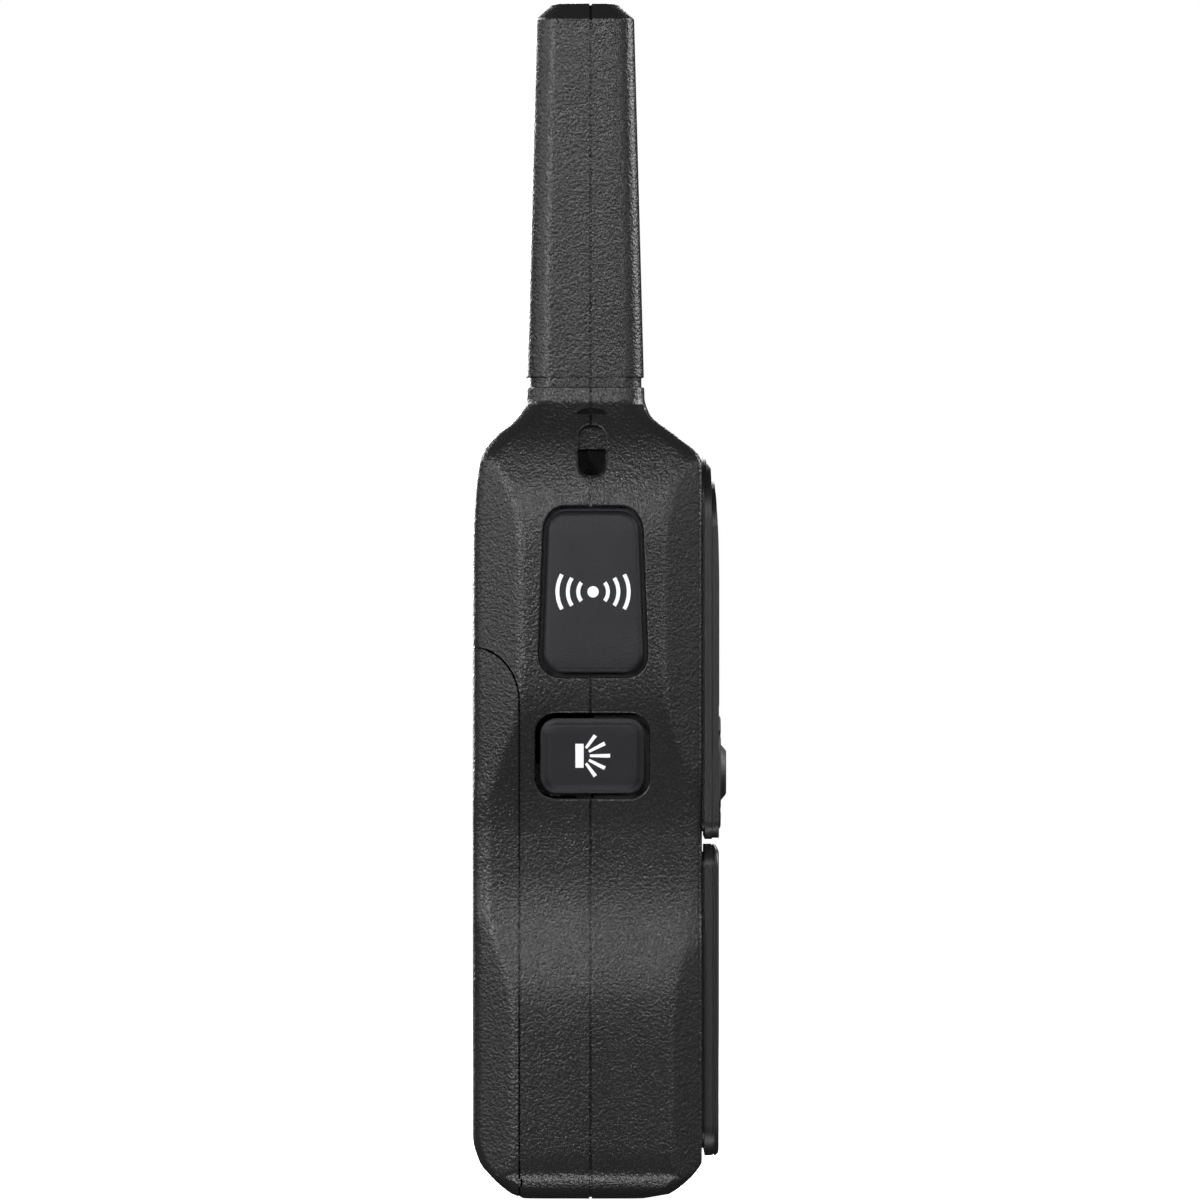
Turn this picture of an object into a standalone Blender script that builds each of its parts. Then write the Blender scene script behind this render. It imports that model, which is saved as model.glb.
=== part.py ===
"""Two way radio, hand-held, with an integral antenna mast and side push-to-talk button.

The origin is on the base plane, under the middle of the body. +Z is up, -Y is the front
with the display and the speaker, -X is the side with the push-to-talk button. The housing
is two shells that meet at the parting plane; the battery door closes the rear one.
"""

import bmesh
import bpy
import math
import numpy as np
from mathutils import Matrix, Vector

MM = 0.001

# Driving dimensions, in millimetres. Outlines are (height, value) knots, joined smoothly.
PARTING_Y = 1.5
SEAM = 0.4
WALL = 1.8
BODY_TOP = 126.2
BACK = [(0, 12.2), (0.6, 13.8), (3.6, 17.3), (5.8, 19.1), (9.9, 20.2), (104, 20.2),
        (112.9, 19.8), (117.9, 18.9), (121, 16.7), (123.5, 13.7), (126.2, 11.7)]
FRONT = [(0, -7), (0.4, -10.1), (1.2, -11.8), (5.1, -15.8), (5.9, -16.2), (116.5, -16.2),
         (117.7, -15.9), (121.5, -11.7), (124.6, -7.9), (126.2, -7.2)]
HALF_WIDTH = [(0, 22.5), (1.2, 25), (4.6, 27.2), (8, 27.45), (34, 27.45), (49, 25), (58, 25),
              (79, 28), (113, 28), (120, 25.4), (126.2, 22.4)]
CAVITY_HALF_WIDTH = [(0, 22), (8, 25.65), (34, 25.65), (49, 23.2), (58, 23.2), (79, 26.2),
                     (110.6, 26.2), (113.6, 18.5), (126.2, 18)]
CHAMFER_BACK = (28.0, 12.6, 0.487)
CHAMFER_FRONT = (28.0, -10.1, 0.508)
LEAST_CHAMFER = 1.2
CORNER_RADII = (2.5, 3.0, 2.5, 1.2)
LOFT_SPANS = [(0, 10, 6), (10, 34, 1), (34, 49, 4), (49, 58, 1), (58, 79, 5), (79, 104, 1),
              (104, 110.6, 2), (110.6, 113.6, 2), (113.6, 126.2, 7)]

MAST_X = -14.3
MAST_Y = 2.4
MAST = [(119, 8.2, 9.6), (125.9, 8.2, 9.55), (128.9, 8.05, 9.45), (129.05, 7.75, 9.1),
        (130.45, 7.7, 9.05), (130.6, 7.95, 9.3), (187.6, 7.25, 7.8), (190, 5.6, 6.1)]
MAST_CORNER = 0.45
BORE_RADIUS = 4.3
BORE_Z = (131.6, 185.5)
FEED_RADIUS = 1.6
CORE_RADIUS = 2.9
COIL_RADIUS = 3.55
COIL_TURNS = 11

DOOR_Y = 12.8
DOOR_TOP = 87.6
DOOR_CORNER = (7.5, 8.7)
DOOR_SEAM = 0.3
DOOR_WALL = 1.6
HINGE = (0, 20.2, DOOR_TOP)
TONGUES_X = (-12, 12)
TONGUE_HALF = 3
LATCH_Y = (19.5, 20.15)
LATCH_Z = 16.6
LATCH_SIZE = (12.6, 7.6, 1.8)
LATCH_RECESS = (14, 12, 2)
LATCH_RECESS_Z = 15
LATCH_GROOVES = 3

BEZEL_Z = (57.1, 116.7)
BEZEL_HALF = 23.4
BEZEL_LEAN = 9
GRILLE_Z = (6.7, 55.8)
GRILLE_HALF = 22.9
PANEL_BACK = -16.6
PANEL_FACE = -18.9
PANEL_BEVEL = 0.7
LENS_Z = (78.2, 113.8)
LENS_HALF = 19.6
LENS_LEAN = 4.5
LEAN_START_Z = 107
WINDOW_HALF = 15.8
WINDOW_Z = (83.4, 108.6)
NAV_Z = 67.5
NAV_RADIUS = 9.15
NAV_HOLE = 9.5
NAV_FACE = -19.3
NAV_INNER_RADIUS = 5.1
NAV_QUARTER = 40.5
KEY_BEVEL = 0.4
CENTRE_RADIUS = 4.6
CENTRE_FACE = -20.2
SIDE_KEY_X = 16.2
SIDE_KEY_HOLE = (7.2, 13.2, 3)
SIDE_KEY_SIZE = (6.6, 12.6, 2.8)
KEY_INNER = -14.9
GRILLE_SLOTS = 7
SLOT_PITCH = 4
SLOT_WIDTH = 1.7

PTT_CENTRE = (1.1, 96.4)
PTT_HOLE = (17.2, 27.0, 3.5)
PTT_SIZE = (15.8, 25.6, 3.2)
PTT_PROUD = 0.9
PTT_FLANGE_X = (-25.9, -25.2)
LIGHT_CENTRE = (1.2, 70.4)
LIGHT_HOLE = (18.1, 13.5, 3.0)
LIGHT_SIZE = (16.4, 11.7, 2.6)
LIGHT_PROUD = 0.7
BUTTON_ORIGIN_X = -25.5
SIDE_BOARD_X = (-20.1, -19.1)
SWITCH_Y = -3.4
SWITCH_HALF = 3

CELL_RADIUS = 7.1
CELL_LENGTH = 50.5
CELL_PITCH = 14.7
CELL_Y = 11.2
BAY_HALF = 22.2
BAY_Z = (8.2, 66.6)
BAY_FLOOR = 3.8
DECK_Y = 10.8
NUB_RADIUS = 2.7
NUB_LENGTH = 1.2
SPRING_RADII = (4.2, 2.6)

PORT_CENTRE = (-4.1, 92.0)
PORT_SIZE = (8.6, 24.0, 2.0)
PORT_FLOOR_X = 26.3
PORT_COVER_X = (26.6, 28)
PORT_CLEARANCE = 0.3
USB_HOLE = ((-4.8, 87.6), 4.4, 10.4, 1.2)
JACK_HOLE = (-4.8, 99.4, 2.8)
JACK_Y = -5.9
LAMP = (14.0, 2.2)
LAMP_HOLE_RADIUS = 5.3
SPEAKER_Z = 31.0
SPEAKER_Y = -13.2
SPEAKER_HOLE_RADIUS = 15
MICROPHONE = (14.5, 10.8)
SCREWS = [(-15, 79.5), (15, 79.5), (-20, 5.2), (20, 5.2)]
LOW_SCREW_Z = 50
BOSS_RADIUS = 2.7
BOSS_BORE = 1.4
BOSS_CLEARANCE = 3.1
SCREW_RADIUS = 1.05
SCREW_HEAD_RADIUS = 2.3
LANYARD = (1.3, 118.85, 4.6, 8.3)
LANYARD_FLOOR_X = -21
LANYARD_RING = (-23.2, 124.4, 2.9, 1.5)

COLOURS = {
    "housing": ((0.045, 0.045, 0.047), 0.6, 0.0),
    "panel": ((0.018, 0.018, 0.02), 0.45, 0.0),
    "gloss": ((0.006, 0.006, 0.008), 0.08, 0.0),
    "rubber": ((0.02, 0.021, 0.026), 0.55, 0.0),
    "board": ((0.02, 0.11, 0.05), 0.5, 0.0),
    "metal": ((0.55, 0.55, 0.54), 0.35, 1.0),
    "spring": ((0.6, 0.58, 0.5), 0.3, 1.0),
    "cell": ((0.35, 0.35, 0.37), 0.35, 0.6),
    "magnet": ((0.09, 0.09, 0.095), 0.4, 0.8),
    "copper": ((0.7, 0.32, 0.15), 0.3, 1.0),
    "lens": ((0.75, 0.78, 0.8), 0.08, 0.0),
    "nylon": ((0.5, 0.5, 0.48), 0.5, 0.0),
}


# --- the scene and its helpers ---

def clear_scene():
    for obj in list(bpy.data.objects):
        bpy.data.objects.remove(obj)


def new_collection(name):
    made = bpy.data.collections.new(name)
    bpy.context.scene.collection.children.link(made)
    return made


clear_scene()
PARTS = new_collection("two_way_radio")
CUTTERS = new_collection("cutters")
CUTTERS.hide_render = True


def material(name, kind):
    colour, roughness, metallic = COLOURS[kind]
    made = bpy.data.materials.new(name)
    made.use_nodes = True
    shader = made.node_tree.nodes["Principled BSDF"]
    shader.inputs["Base Color"].default_value = (*colour, 1)
    shader.inputs["Roughness"].default_value = roughness
    shader.inputs["Metallic"].default_value = metallic
    made.diffuse_color = (*colour, 1)
    return made


def add_object(name, bm, kind=None):
    """Turns a bmesh in millimetres into an object in metres: a part if it has a kind, or a cutter."""
    bmesh.ops.recalc_face_normals(bm, faces=bm.faces[:])
    mesh = bpy.data.meshes.new(name)
    bm.transform(Matrix.Scale(MM, 4))
    bm.to_mesh(mesh)
    bm.free()
    obj = bpy.data.objects.new(name, mesh)
    if kind:
        PARTS.objects.link(obj)
        mesh.materials.append(material(name, kind))
        mesh.shade_smooth()
        mesh.set_sharp_from_angle(angle=math.radians(30))
    else:
        CUTTERS.objects.link(obj)
        obj.hide_render = True
        obj.display_type = "WIRE"
    return obj


def boolean(obj, other, operation):
    made = obj.modifiers.new(other.name, "BOOLEAN")
    made.operation = operation
    made.object = other


def cut(obj, *others):
    for other in others:
        boolean(obj, other, "DIFFERENCE")


def join(obj, *others):
    for other in others:
        boolean(obj, other, "UNION")


def keep(obj, other):
    boolean(obj, other, "INTERSECT")


def origin_at(obj, point):
    """Moves an object's origin to a point, in millimetres, and leaves its shape where it is."""
    where = Vector(point) * MM
    obj.data.transform(Matrix.Translation(-where))
    obj.location = where


def box(name, low, high, kind=None, bevel=0):
    bm = bmesh.new()
    size = Vector(high) - Vector(low)
    middle = (Vector(high) + Vector(low)) / 2
    bmesh.ops.create_cube(bm, size=1, matrix=Matrix.Translation(middle) @ Matrix.Diagonal((*size, 1)))
    if bevel:
        bmesh.ops.bevel(bm, geom=bm.edges[:], offset=bevel, segments=1, affect="EDGES")
    return add_object(name, bm, kind)


def along(axis):
    """The turn that points a shape's own +Z along an axis."""
    return Vector((0, 0, 1)).rotation_difference(Vector(axis)).to_matrix().to_4x4()


def cylinder(name, start, end, radius, kind=None, segments=20, end_radius=None):
    start, end = Vector(start), Vector(end)
    bm = bmesh.new()
    place = Matrix.Translation((start + end) / 2) @ along((end - start).normalized())
    bmesh.ops.create_cone(bm, cap_ends=True, segments=segments, radius1=radius,
                          radius2=radius if end_radius is None else end_radius,
                          depth=(end - start).length, matrix=place)
    return add_object(name, bm, kind)


def prism(name, outline, plane, start, end, kind=None, bevel=0):
    """Extrudes a flat outline along X (from its y, z points) or along Y (from its x, z points)."""
    bm = bmesh.new()
    if plane == "x":
        verts = [bm.verts.new((start, a, b)) for a, b in outline]
        step = Vector((end - start, 0, 0))
    else:
        verts = [bm.verts.new((a, start, b)) for a, b in outline]
        step = Vector((0, end - start, 0))
    face = bm.faces.new(verts)
    grown = bmesh.ops.extrude_face_region(bm, geom=[face])
    moved = [item for item in grown["geom"] if isinstance(item, bmesh.types.BMVert)]
    bmesh.ops.translate(bm, verts=moved, vec=step)
    if bevel:
        rim = [edge for edge in bm.edges if set(edge.verts) <= set(moved)]
        bmesh.ops.bevel(bm, geom=rim, offset=bevel, segments=1, affect="EDGES")
    return add_object(name, bm, kind)


def fillet(corners, radii, steps):
    """Rounds the corners of a closed outline; each arc has the given number of steps."""
    points = []
    count = len(corners)
    for i, corner in enumerate(corners):
        here = Vector(corner)
        before = Vector(corners[i - 1]) - here
        after = Vector(corners[(i + 1) % count]) - here
        half = before.angle(after) / 2
        reach = min(radii[i] / math.tan(half), 0.45 * before.length, 0.45 * after.length)
        radius = reach * math.tan(half)
        inward = (before.normalized() + after.normalized()).normalized()
        middle = here + inward * (radius / math.sin(half))
        start = here + before.normalized() * reach - middle
        turn = start.angle_signed(here + after.normalized() * reach - middle)
        for k in range(steps + 1):
            swung = start.copy()
            swung.rotate(Matrix.Rotation(-turn * k / steps, 2))
            points.append(tuple(middle + swung))
    return points


def rounded(centre, width, height, radius, steps=3):
    (a, b), w, h = centre, width / 2, height / 2
    corners = [(a + w, b + h), (a - w, b + h), (a - w, b - h), (a + w, b - h)]
    radii = radius if isinstance(radius, (list, tuple)) else [radius] * 4
    return fillet(corners, radii, steps)


def round_outline(centre, radius, segments=24):
    turn = 2 * math.pi / segments
    return [(centre[0] + radius * math.cos(turn * k), centre[1] + radius * math.sin(turn * k))
            for k in range(segments)]


def turned(name, profile, centre, kind, steps=24):
    """A Screw of a closed (radius, forward) profile about an axis that points at the front."""
    mesh = bpy.data.meshes.new(name)
    verts = [(radius * MM, 0, height * MM) for radius, height in profile]
    edges = [(i, (i + 1) % len(profile)) for i in range(len(profile))]
    mesh.from_pydata(verts, edges, [])
    obj = bpy.data.objects.new(name, mesh)
    PARTS.objects.link(obj)
    mesh.materials.append(material(name, kind))
    obj.location = Vector(centre) * MM
    obj.rotation_euler = (math.radians(90), 0, 0)
    screw = obj.modifiers.new("turn", "SCREW")
    screw.steps = steps
    screw.render_steps = steps
    screw.use_merge_vertices = True
    screw.merge_threshold = 0.00001
    screw.use_smooth_shade = True
    screw.use_normal_flip = True
    return obj


def wire(name, points, radius, kind, resolution=1):
    curve = bpy.data.curves.new(name, "CURVE")
    curve.dimensions = "3D"
    curve.bevel_depth = radius * MM
    curve.bevel_resolution = resolution
    curve.use_fill_caps = True
    spline = curve.splines.new("POLY")
    spline.points.add(len(points) - 1)
    for point, (x, y, z) in zip(spline.points, points):
        point.co = (x * MM, y * MM, z * MM, 1)
    obj = bpy.data.objects.new(name, curve)
    curve.materials.append(material(name, kind))
    PARTS.objects.link(obj)
    return obj


def helix(centre, low, high, radius, turns, per_turn, end_radius=None):
    count = turns * per_turn
    last = radius if end_radius is None else end_radius
    points = []
    for k in range(count + 1):
        share = k / count
        reach = radius + (last - radius) * share
        angle = 2 * math.pi * k / per_turn
        points.append((centre[0] + reach * math.cos(angle), centre[1] + reach * math.sin(angle),
                       low + (high - low) * share))
    return points


# --- the body's form ---

def smooth(knots, z):
    """A curve through the knots that never overshoots them (monotone cubic)."""
    x = np.array([knot[0] for knot in knots], float)
    y = np.array([knot[1] for knot in knots], float)
    step = np.diff(x)
    slope = np.diff(y) / step
    tangent = np.zeros(len(x))
    for i in range(1, len(x) - 1):
        if slope[i - 1] * slope[i] > 0:
            first = 2 * step[i] + step[i - 1]
            second = step[i] + 2 * step[i - 1]
            tangent[i] = (first + second) / (first / slope[i - 1] + second / slope[i])
    tangent[0], tangent[-1] = slope[0], slope[-1]
    z = min(max(z, x[0]), x[-1])
    i = min(int(np.searchsorted(x, z, side="right")) - 1, len(step) - 1)
    t = (z - x[i]) / step[i]
    return float(y[i] * (1 + 2 * t) * (1 - t) ** 2 + tangent[i] * step[i] * t * (1 - t) ** 2
                 + y[i + 1] * t * t * (3 - 2 * t) + tangent[i + 1] * step[i] * t * t * (t - 1))


def section(z, inset=0, widths=None):
    """The body's outline at a height: flat sides, chamfered edges, rounded corners."""
    half = smooth(widths, z) if widths else smooth(HALF_WIDTH, z) - inset
    back = smooth(BACK, z) - inset
    front = smooth(FRONT, z) + inset
    corners = []
    for edge, (plane, start, slope), side in ((back, CHAMFER_BACK, 1), (front, CHAMFER_FRONT, -1)):
        depth = side * (edge - start)
        level = min(plane - inset * math.hypot(1, slope), half + slope * depth - LEAST_CHAMFER)
        crease = start + side * (level - half) / slope
        corners.append(((level - slope * depth, edge), (half, crease)))
    (back_corner, back_crease), (front_corner, front_crease) = corners
    right = [back_corner, back_crease, front_crease, front_corner]
    left = [(-x, y) for x, y in reversed(right)]
    return fillet(right + left, list(CORNER_RADII) + list(reversed(CORNER_RADII)), 2)


def loft(rings):
    """A closed solid through rings that all have the same number of points."""
    bm = bmesh.new()
    made = [[bm.verts.new(point) for point in ring] for ring in rings]
    count = len(made[0])
    for lower, upper in zip(made, made[1:]):
        for k in range(count):
            after = (k + 1) % count
            bm.faces.new((lower[k], lower[after], upper[after], upper[k]))
    bm.faces.new(made[0])
    bm.faces.new(made[-1])
    return bm


def heights(low, high):
    values = [low, high]
    for start, end, count in LOFT_SPANS:
        values += [float(v) for v in np.linspace(start, end, count + 1) if low < v < high]
    return sorted(set(round(v, 3) for v in values))


def body_solid(name, inset=0, low=0, high=BODY_TOP, widths=None, kind=None):
    rings = [[(x, y, z) for x, y in section(z, inset, widths)] for z in heights(low, high)]
    return add_object(name, loft(rings), kind)


def mast_solid(name):
    rings = []
    for z, half_x, half_y in MAST:
        outline = rounded((MAST_X, MAST_Y), 2 * half_x, 2 * half_y, MAST_CORNER * half_y, 3)
        rings.append([(x, y, z) for x, y in outline])
    return add_object(name, loft(rings))


def door_outline(grow):
    """The door's region in side view: straight down, with a quarter ellipse at its upper corner."""
    wide, tall = DOOR_CORNER
    points = [(30, -5), (DOOR_Y - grow, -5)]
    for k in range(9):
        angle = math.pi / 2 * k / 8
        points.append((DOOR_Y + wide - (wide + grow) * math.cos(angle),
                       DOOR_TOP - tall + (tall + grow) * math.sin(angle)))
    return points + [(30, DOOR_TOP + grow)]


def inside(name, inset, low, high, box_low, box_high, widths=None):
    """A cutter: the body's form, inset, and kept only within a box."""
    made = body_solid(name, inset, low, high, widths)
    keep(made, box(name + "_limit", box_low, box_high))
    return made


def lanyard_cutters():
    y, z, wide, tall = LANYARD
    pocket = prism("lanyard_pocket", rounded((y, z), wide, tall, wide / 2 - 0.05, 4), "x", -32,
                   LANYARD_FLOOR_X)
    ring_x, ring_z, major, minor = LANYARD_RING
    bpy.ops.mesh.primitive_torus_add(major_radius=major * MM, minor_radius=minor * MM, major_segments=20,
                                     minor_segments=10, location=(ring_x * MM, y * MM, ring_z * MM),
                                     rotation=(math.radians(90), 0, 0))
    ring = bpy.context.object
    ring.name = "lanyard_ring"
    for collection in list(ring.users_collection):
        collection.objects.unlink(ring)
    CUTTERS.objects.link(ring)
    ring.hide_render = True
    ring.display_type = "WIRE"
    return pocket, ring


# --- cutters that several pieces share ---

mast = mast_solid("mast_form")
bore = cylinder("mast_bore", (MAST_X, MAST_Y, BORE_Z[0]), (MAST_X, MAST_Y, BORE_Z[1]), BORE_RADIUS)
feed = cylinder("mast_feed", (MAST_X, MAST_Y, 120), (MAST_X, MAST_Y, 133), FEED_RADIUS, segments=12)
ptt_hole = prism("ptt_hole", rounded(PTT_CENTRE, *PTT_HOLE), "x", -32, -22)
light_hole = prism("light_hole", rounded(LIGHT_CENTRE, *LIGHT_HOLE), "x", -32, -23.4)
lamp_hole = cylinder("lamp_hole", (*LAMP, 121), (*LAMP, 130), LAMP_HOLE_RADIUS)
lanyard_pocket, lanyard_ring = lanyard_cutters()
front_side = box("front_side", (-40, -40, -10), (40, PARTING_Y - SEAM / 2, 200))
rear_side = box("rear_side", (-40, PARTING_Y + SEAM / 2, -10), (40, 40, 200))
nav_hole = prism("nav_hole", round_outline((0, NAV_Z), NAV_HOLE), "y", -22, -13)
side_key_holes = [prism(f"side_key_hole_{i}", rounded((x, NAV_Z), *SIDE_KEY_HOLE), "y", -22, -13)
                  for i, x in ((1, -SIDE_KEY_X), (2, SIDE_KEY_X))]


# --- the housing ---

def front_housing():
    obj = body_solid("front_housing", kind="housing")
    join(obj, mast)
    cut(obj, body_solid("front_cavity", WALL, WALL, BODY_TOP - WALL, CAVITY_HALF_WIDTH))
    for i, (x, z) in enumerate(SCREWS):
        start = -12.6 if z < LOW_SCREW_Z else -15.5
        join(obj, cylinder(f"boss_{i}", (x, start, z), (x, 0.9, z), BOSS_RADIUS, segments=12))
        cut(obj, cylinder(f"boss_hole_{i}", (x, -8, z), (x, 3, z), BOSS_BORE, segments=10))
    cut(obj, bore, feed, ptt_hole, light_hole, lamp_hole, lanyard_pocket, lanyard_ring, nav_hole)
    cut(obj, *side_key_holes)
    centre = (0, (WINDOW_Z[0] + WINDOW_Z[1]) / 2)
    cut(obj, prism("window", rounded(centre, 2 * WINDOW_HALF, WINDOW_Z[1] - WINDOW_Z[0], 1.5), "y", -22, -13))
    ends = (0, -22, SPEAKER_Z), (0, -13, SPEAKER_Z)
    cut(obj, cylinder("speaker_hole", *ends, SPEAKER_HOLE_RADIUS, segments=24))
    x, z = MICROPHONE
    cut(obj, cylinder("microphone_hole", (x, -22, z), (x, -13, z), 1.2, segments=10))
    cut(obj, prism("port_recess", rounded(PORT_CENTRE, *PORT_SIZE), "x", PORT_FLOOR_X, 32))
    cut(obj, prism("usb_hole", rounded(*USB_HOLE), "x", 20, 32))
    y, z, radius = JACK_HOLE
    cut(obj, cylinder("jack_hole", (20, y, z), (32, y, z), radius, segments=14))
    keep(obj, front_side)


def rear_housing():
    obj = body_solid("rear_housing", kind="housing")
    join(obj, mast)
    cut(obj, inside("rear_cavity", WALL, WALL, BODY_TOP - WALL, (-40, -5, 91.5), (40, 40, 140),
                    CAVITY_HALF_WIDTH))
    cut(obj, inside("rear_cavity_deck", WALL, WALL, 100, (-40, -5, 69), (40, DECK_Y, 92), CAVITY_HALF_WIDTH))
    cut(obj, inside("light_pocket", WALL, WALL, 100, (-40, -5, 62.6), (-23, 9.2, 78), CAVITY_HALF_WIDTH))
    cut(obj, box("bay", (-BAY_HALF, BAY_FLOOR, BAY_Z[0]), (BAY_HALF, 30, BAY_Z[1])))
    cut(obj, prism("door_region", door_outline(DOOR_SEAM / 2), "x", -40, 40))
    for i, x in enumerate(TONGUES_X):
        reach = TONGUE_HALF + 0.6
        cut(obj, box(f"tongue_pocket_{i}", (x - reach, 15.4, 86), (x + reach, 18.5, 90.6)))
    for i, (x, z) in enumerate(SCREWS):
        seat = 10.5 if z < LOW_SCREW_Z else 11.5
        cut(obj, cylinder(f"screw_bore_{i}", (x, 0, z), (x, 14, z), BOSS_BORE, segments=10))
        cut(obj, cylinder(f"screw_seat_{i}", (x, seat, z), (x, 14, z), BOSS_RADIUS, segments=14))
    cut(obj, bore, feed, ptt_hole, light_hole, lamp_hole, lanyard_pocket, lanyard_ring)
    keep(obj, rear_side)


def battery_door():
    obj = body_solid("battery_door", kind="housing")
    cut(obj, body_solid("door_hollow", DOOR_WALL, DOOR_WALL + 0.2, BODY_TOP - WALL))
    region = prism("door_form", door_outline(-DOOR_SEAM / 2), "x", -40, 40)
    keep(obj, region)
    for i, x in enumerate(TONGUES_X):
        left, right = x - TONGUE_HALF, x + TONGUE_HALF
        join(obj, box(f"tongue_{i}", (left, 16.9, 84), (right, 18.2, 89.4)))
        join(obj, box(f"tongue_root_{i}", (left, 17, 83), (right, 19.2, 86)))
    cut(obj, prism("latch_recess", rounded((0, LATCH_RECESS_Z), *LATCH_RECESS), "y", 19.2, 22))
    origin_at(obj, HINGE)


def door_latch():
    obj = prism("door_latch", rounded((0, LATCH_Z), *LATCH_SIZE), "y", *LATCH_Y, "panel")
    for i in range(LATCH_GROOVES):
        start = LATCH_Z - 2.4 + 2 * i
        cut(obj, box(f"latch_groove_{i}", (-4.5, 19.85, start), (4.5, 21, start + 0.7)))
    origin_at(obj, (0, 19.8, LATCH_Z))


def front_bezel():
    middle = (0, (BEZEL_Z[0] + BEZEL_Z[1]) / 2)
    outline = rounded(middle, 2 * BEZEL_HALF, BEZEL_Z[1] - BEZEL_Z[0], (8, 8, 3, 3), 4)
    obj = prism("front_bezel", outline, "y", PANEL_BACK, -18.6, "panel", bevel=PANEL_BEVEL)
    lens_middle = (0, (LENS_Z[0] + LENS_Z[1]) / 2)
    recess = rounded(lens_middle, 2 * LENS_HALF + 0.6, LENS_Z[1] - LENS_Z[0] + 0.6, (6.3, 6.3, 2, 2), 4)
    cut(obj, prism("lens_recess", recess, "y", -17.2, -22))
    window = rounded((0, sum(WINDOW_Z) / 2), 2 * WINDOW_HALF - 1, WINDOW_Z[1] - WINDOW_Z[0] - 1, 1.2)
    cut(obj, prism("bezel_window", window, "y", -22, -13), nav_hole, *side_key_holes)
    # The top edge leans back with the shoulder.
    lean = box("bezel_lean", (-40, -26, -6), (40, 0, 30))
    lean.data.transform(Matrix.Rotation(math.radians(BEZEL_LEAN), 4, "X"))
    lean.location = (0, -18.75 * MM, LEAN_START_Z * MM)
    cut(obj, lean)


def display_lens():
    middle = (0, (LENS_Z[0] + LENS_Z[1]) / 2)
    outline = rounded(middle, 2 * LENS_HALF, LENS_Z[1] - LENS_Z[0], (6, 6, 1.7, 1.7), 4)
    obj = prism("display_lens", outline, "y", -17.5, PANEL_FACE, "gloss", bevel=0.3)
    lean = box("lens_lean", (-40, -26, -6), (40, 0, 30))
    lean.data.transform(Matrix.Rotation(math.radians(LENS_LEAN), 4, "X"))
    lean.location = (0, -18.95 * MM, LEAN_START_Z * MM)
    cut(obj, lean)


def speaker_grille():
    middle = (0, (GRILLE_Z[0] + GRILLE_Z[1]) / 2)
    outline = rounded(middle, 2 * GRILLE_HALF, GRILLE_Z[1] - GRILLE_Z[0], (3, 3, 5, 5), 4)
    obj = prism("speaker_grille", outline, "y", PANEL_BACK, PANEL_FACE, "panel", bevel=PANEL_BEVEL)
    for i in range(GRILLE_SLOTS):
        offset = (i - (GRILLE_SLOTS - 1) / 2) * SLOT_PITCH
        half = math.sqrt((SPEAKER_HOLE_RADIUS + 0.5) ** 2 - offset ** 2)
        slot = rounded((0, SPEAKER_Z + offset), 2 * half, SLOT_WIDTH, 0.8, 2)
        cut(obj, prism(f"slot_{i}", slot, "y", -22, -13))
    x, z = MICROPHONE
    cut(obj, cylinder("grille_microphone", (x, -22, z), (x, -13, z), 1, segments=10))


def nav_keys():
    centre = cylinder("key_centre", (0, KEY_INNER, NAV_Z), (0, NAV_FACE, NAV_Z), CENTRE_RADIUS, "rubber", 24)
    join(centre, cylinder("key_centre_top", (0, -19.2, NAV_Z), (0, CENTRE_FACE, NAV_Z), CENTRE_RADIUS,
                          segments=24, end_radius=3.45))
    origin_at(centre, (0, KEY_INNER, NAV_Z))
    names = ("key_right", "key_up", "key_left", "key_down")
    for quarter, name in enumerate(names):
        middle = math.radians(90 * quarter)
        spread = math.radians(NAV_QUARTER)
        angles = [middle + spread * (k / 4 - 1) for k in range(9)]
        outer = [(NAV_RADIUS * math.cos(a), NAV_Z + NAV_RADIUS * math.sin(a)) for a in angles]
        inner = [(NAV_INNER_RADIUS * math.cos(a), NAV_Z + NAV_INNER_RADIUS * math.sin(a))
                 for a in reversed(angles)]
        key = prism(name, outer + inner, "y", KEY_INNER, NAV_FACE, "rubber", bevel=KEY_BEVEL)
        origin_at(key, (7 * math.cos(middle), KEY_INNER, NAV_Z + 7 * math.sin(middle)))
    for name, x in (("key_power", -SIDE_KEY_X), ("key_call", SIDE_KEY_X)):
        outline = rounded((x, NAV_Z), *SIDE_KEY_SIZE)
        key = prism(name, outline, "y", KEY_INNER, NAV_FACE + 0.2, "rubber", bevel=KEY_BEVEL)
        origin_at(key, (x, KEY_INNER, NAV_Z))


# --- the side buttons ---

def side_button(name, centre, size, proud, depth):
    """A button whose face follows the body's side, standing a little proud of it."""
    obj = prism(name, rounded(centre, *size), "x", -32, -20, "rubber")
    keep(obj, body_solid(name + "_face", -proud))
    cut(obj, body_solid(name + "_back", depth, depth, BODY_TOP - depth))
    return obj


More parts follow.
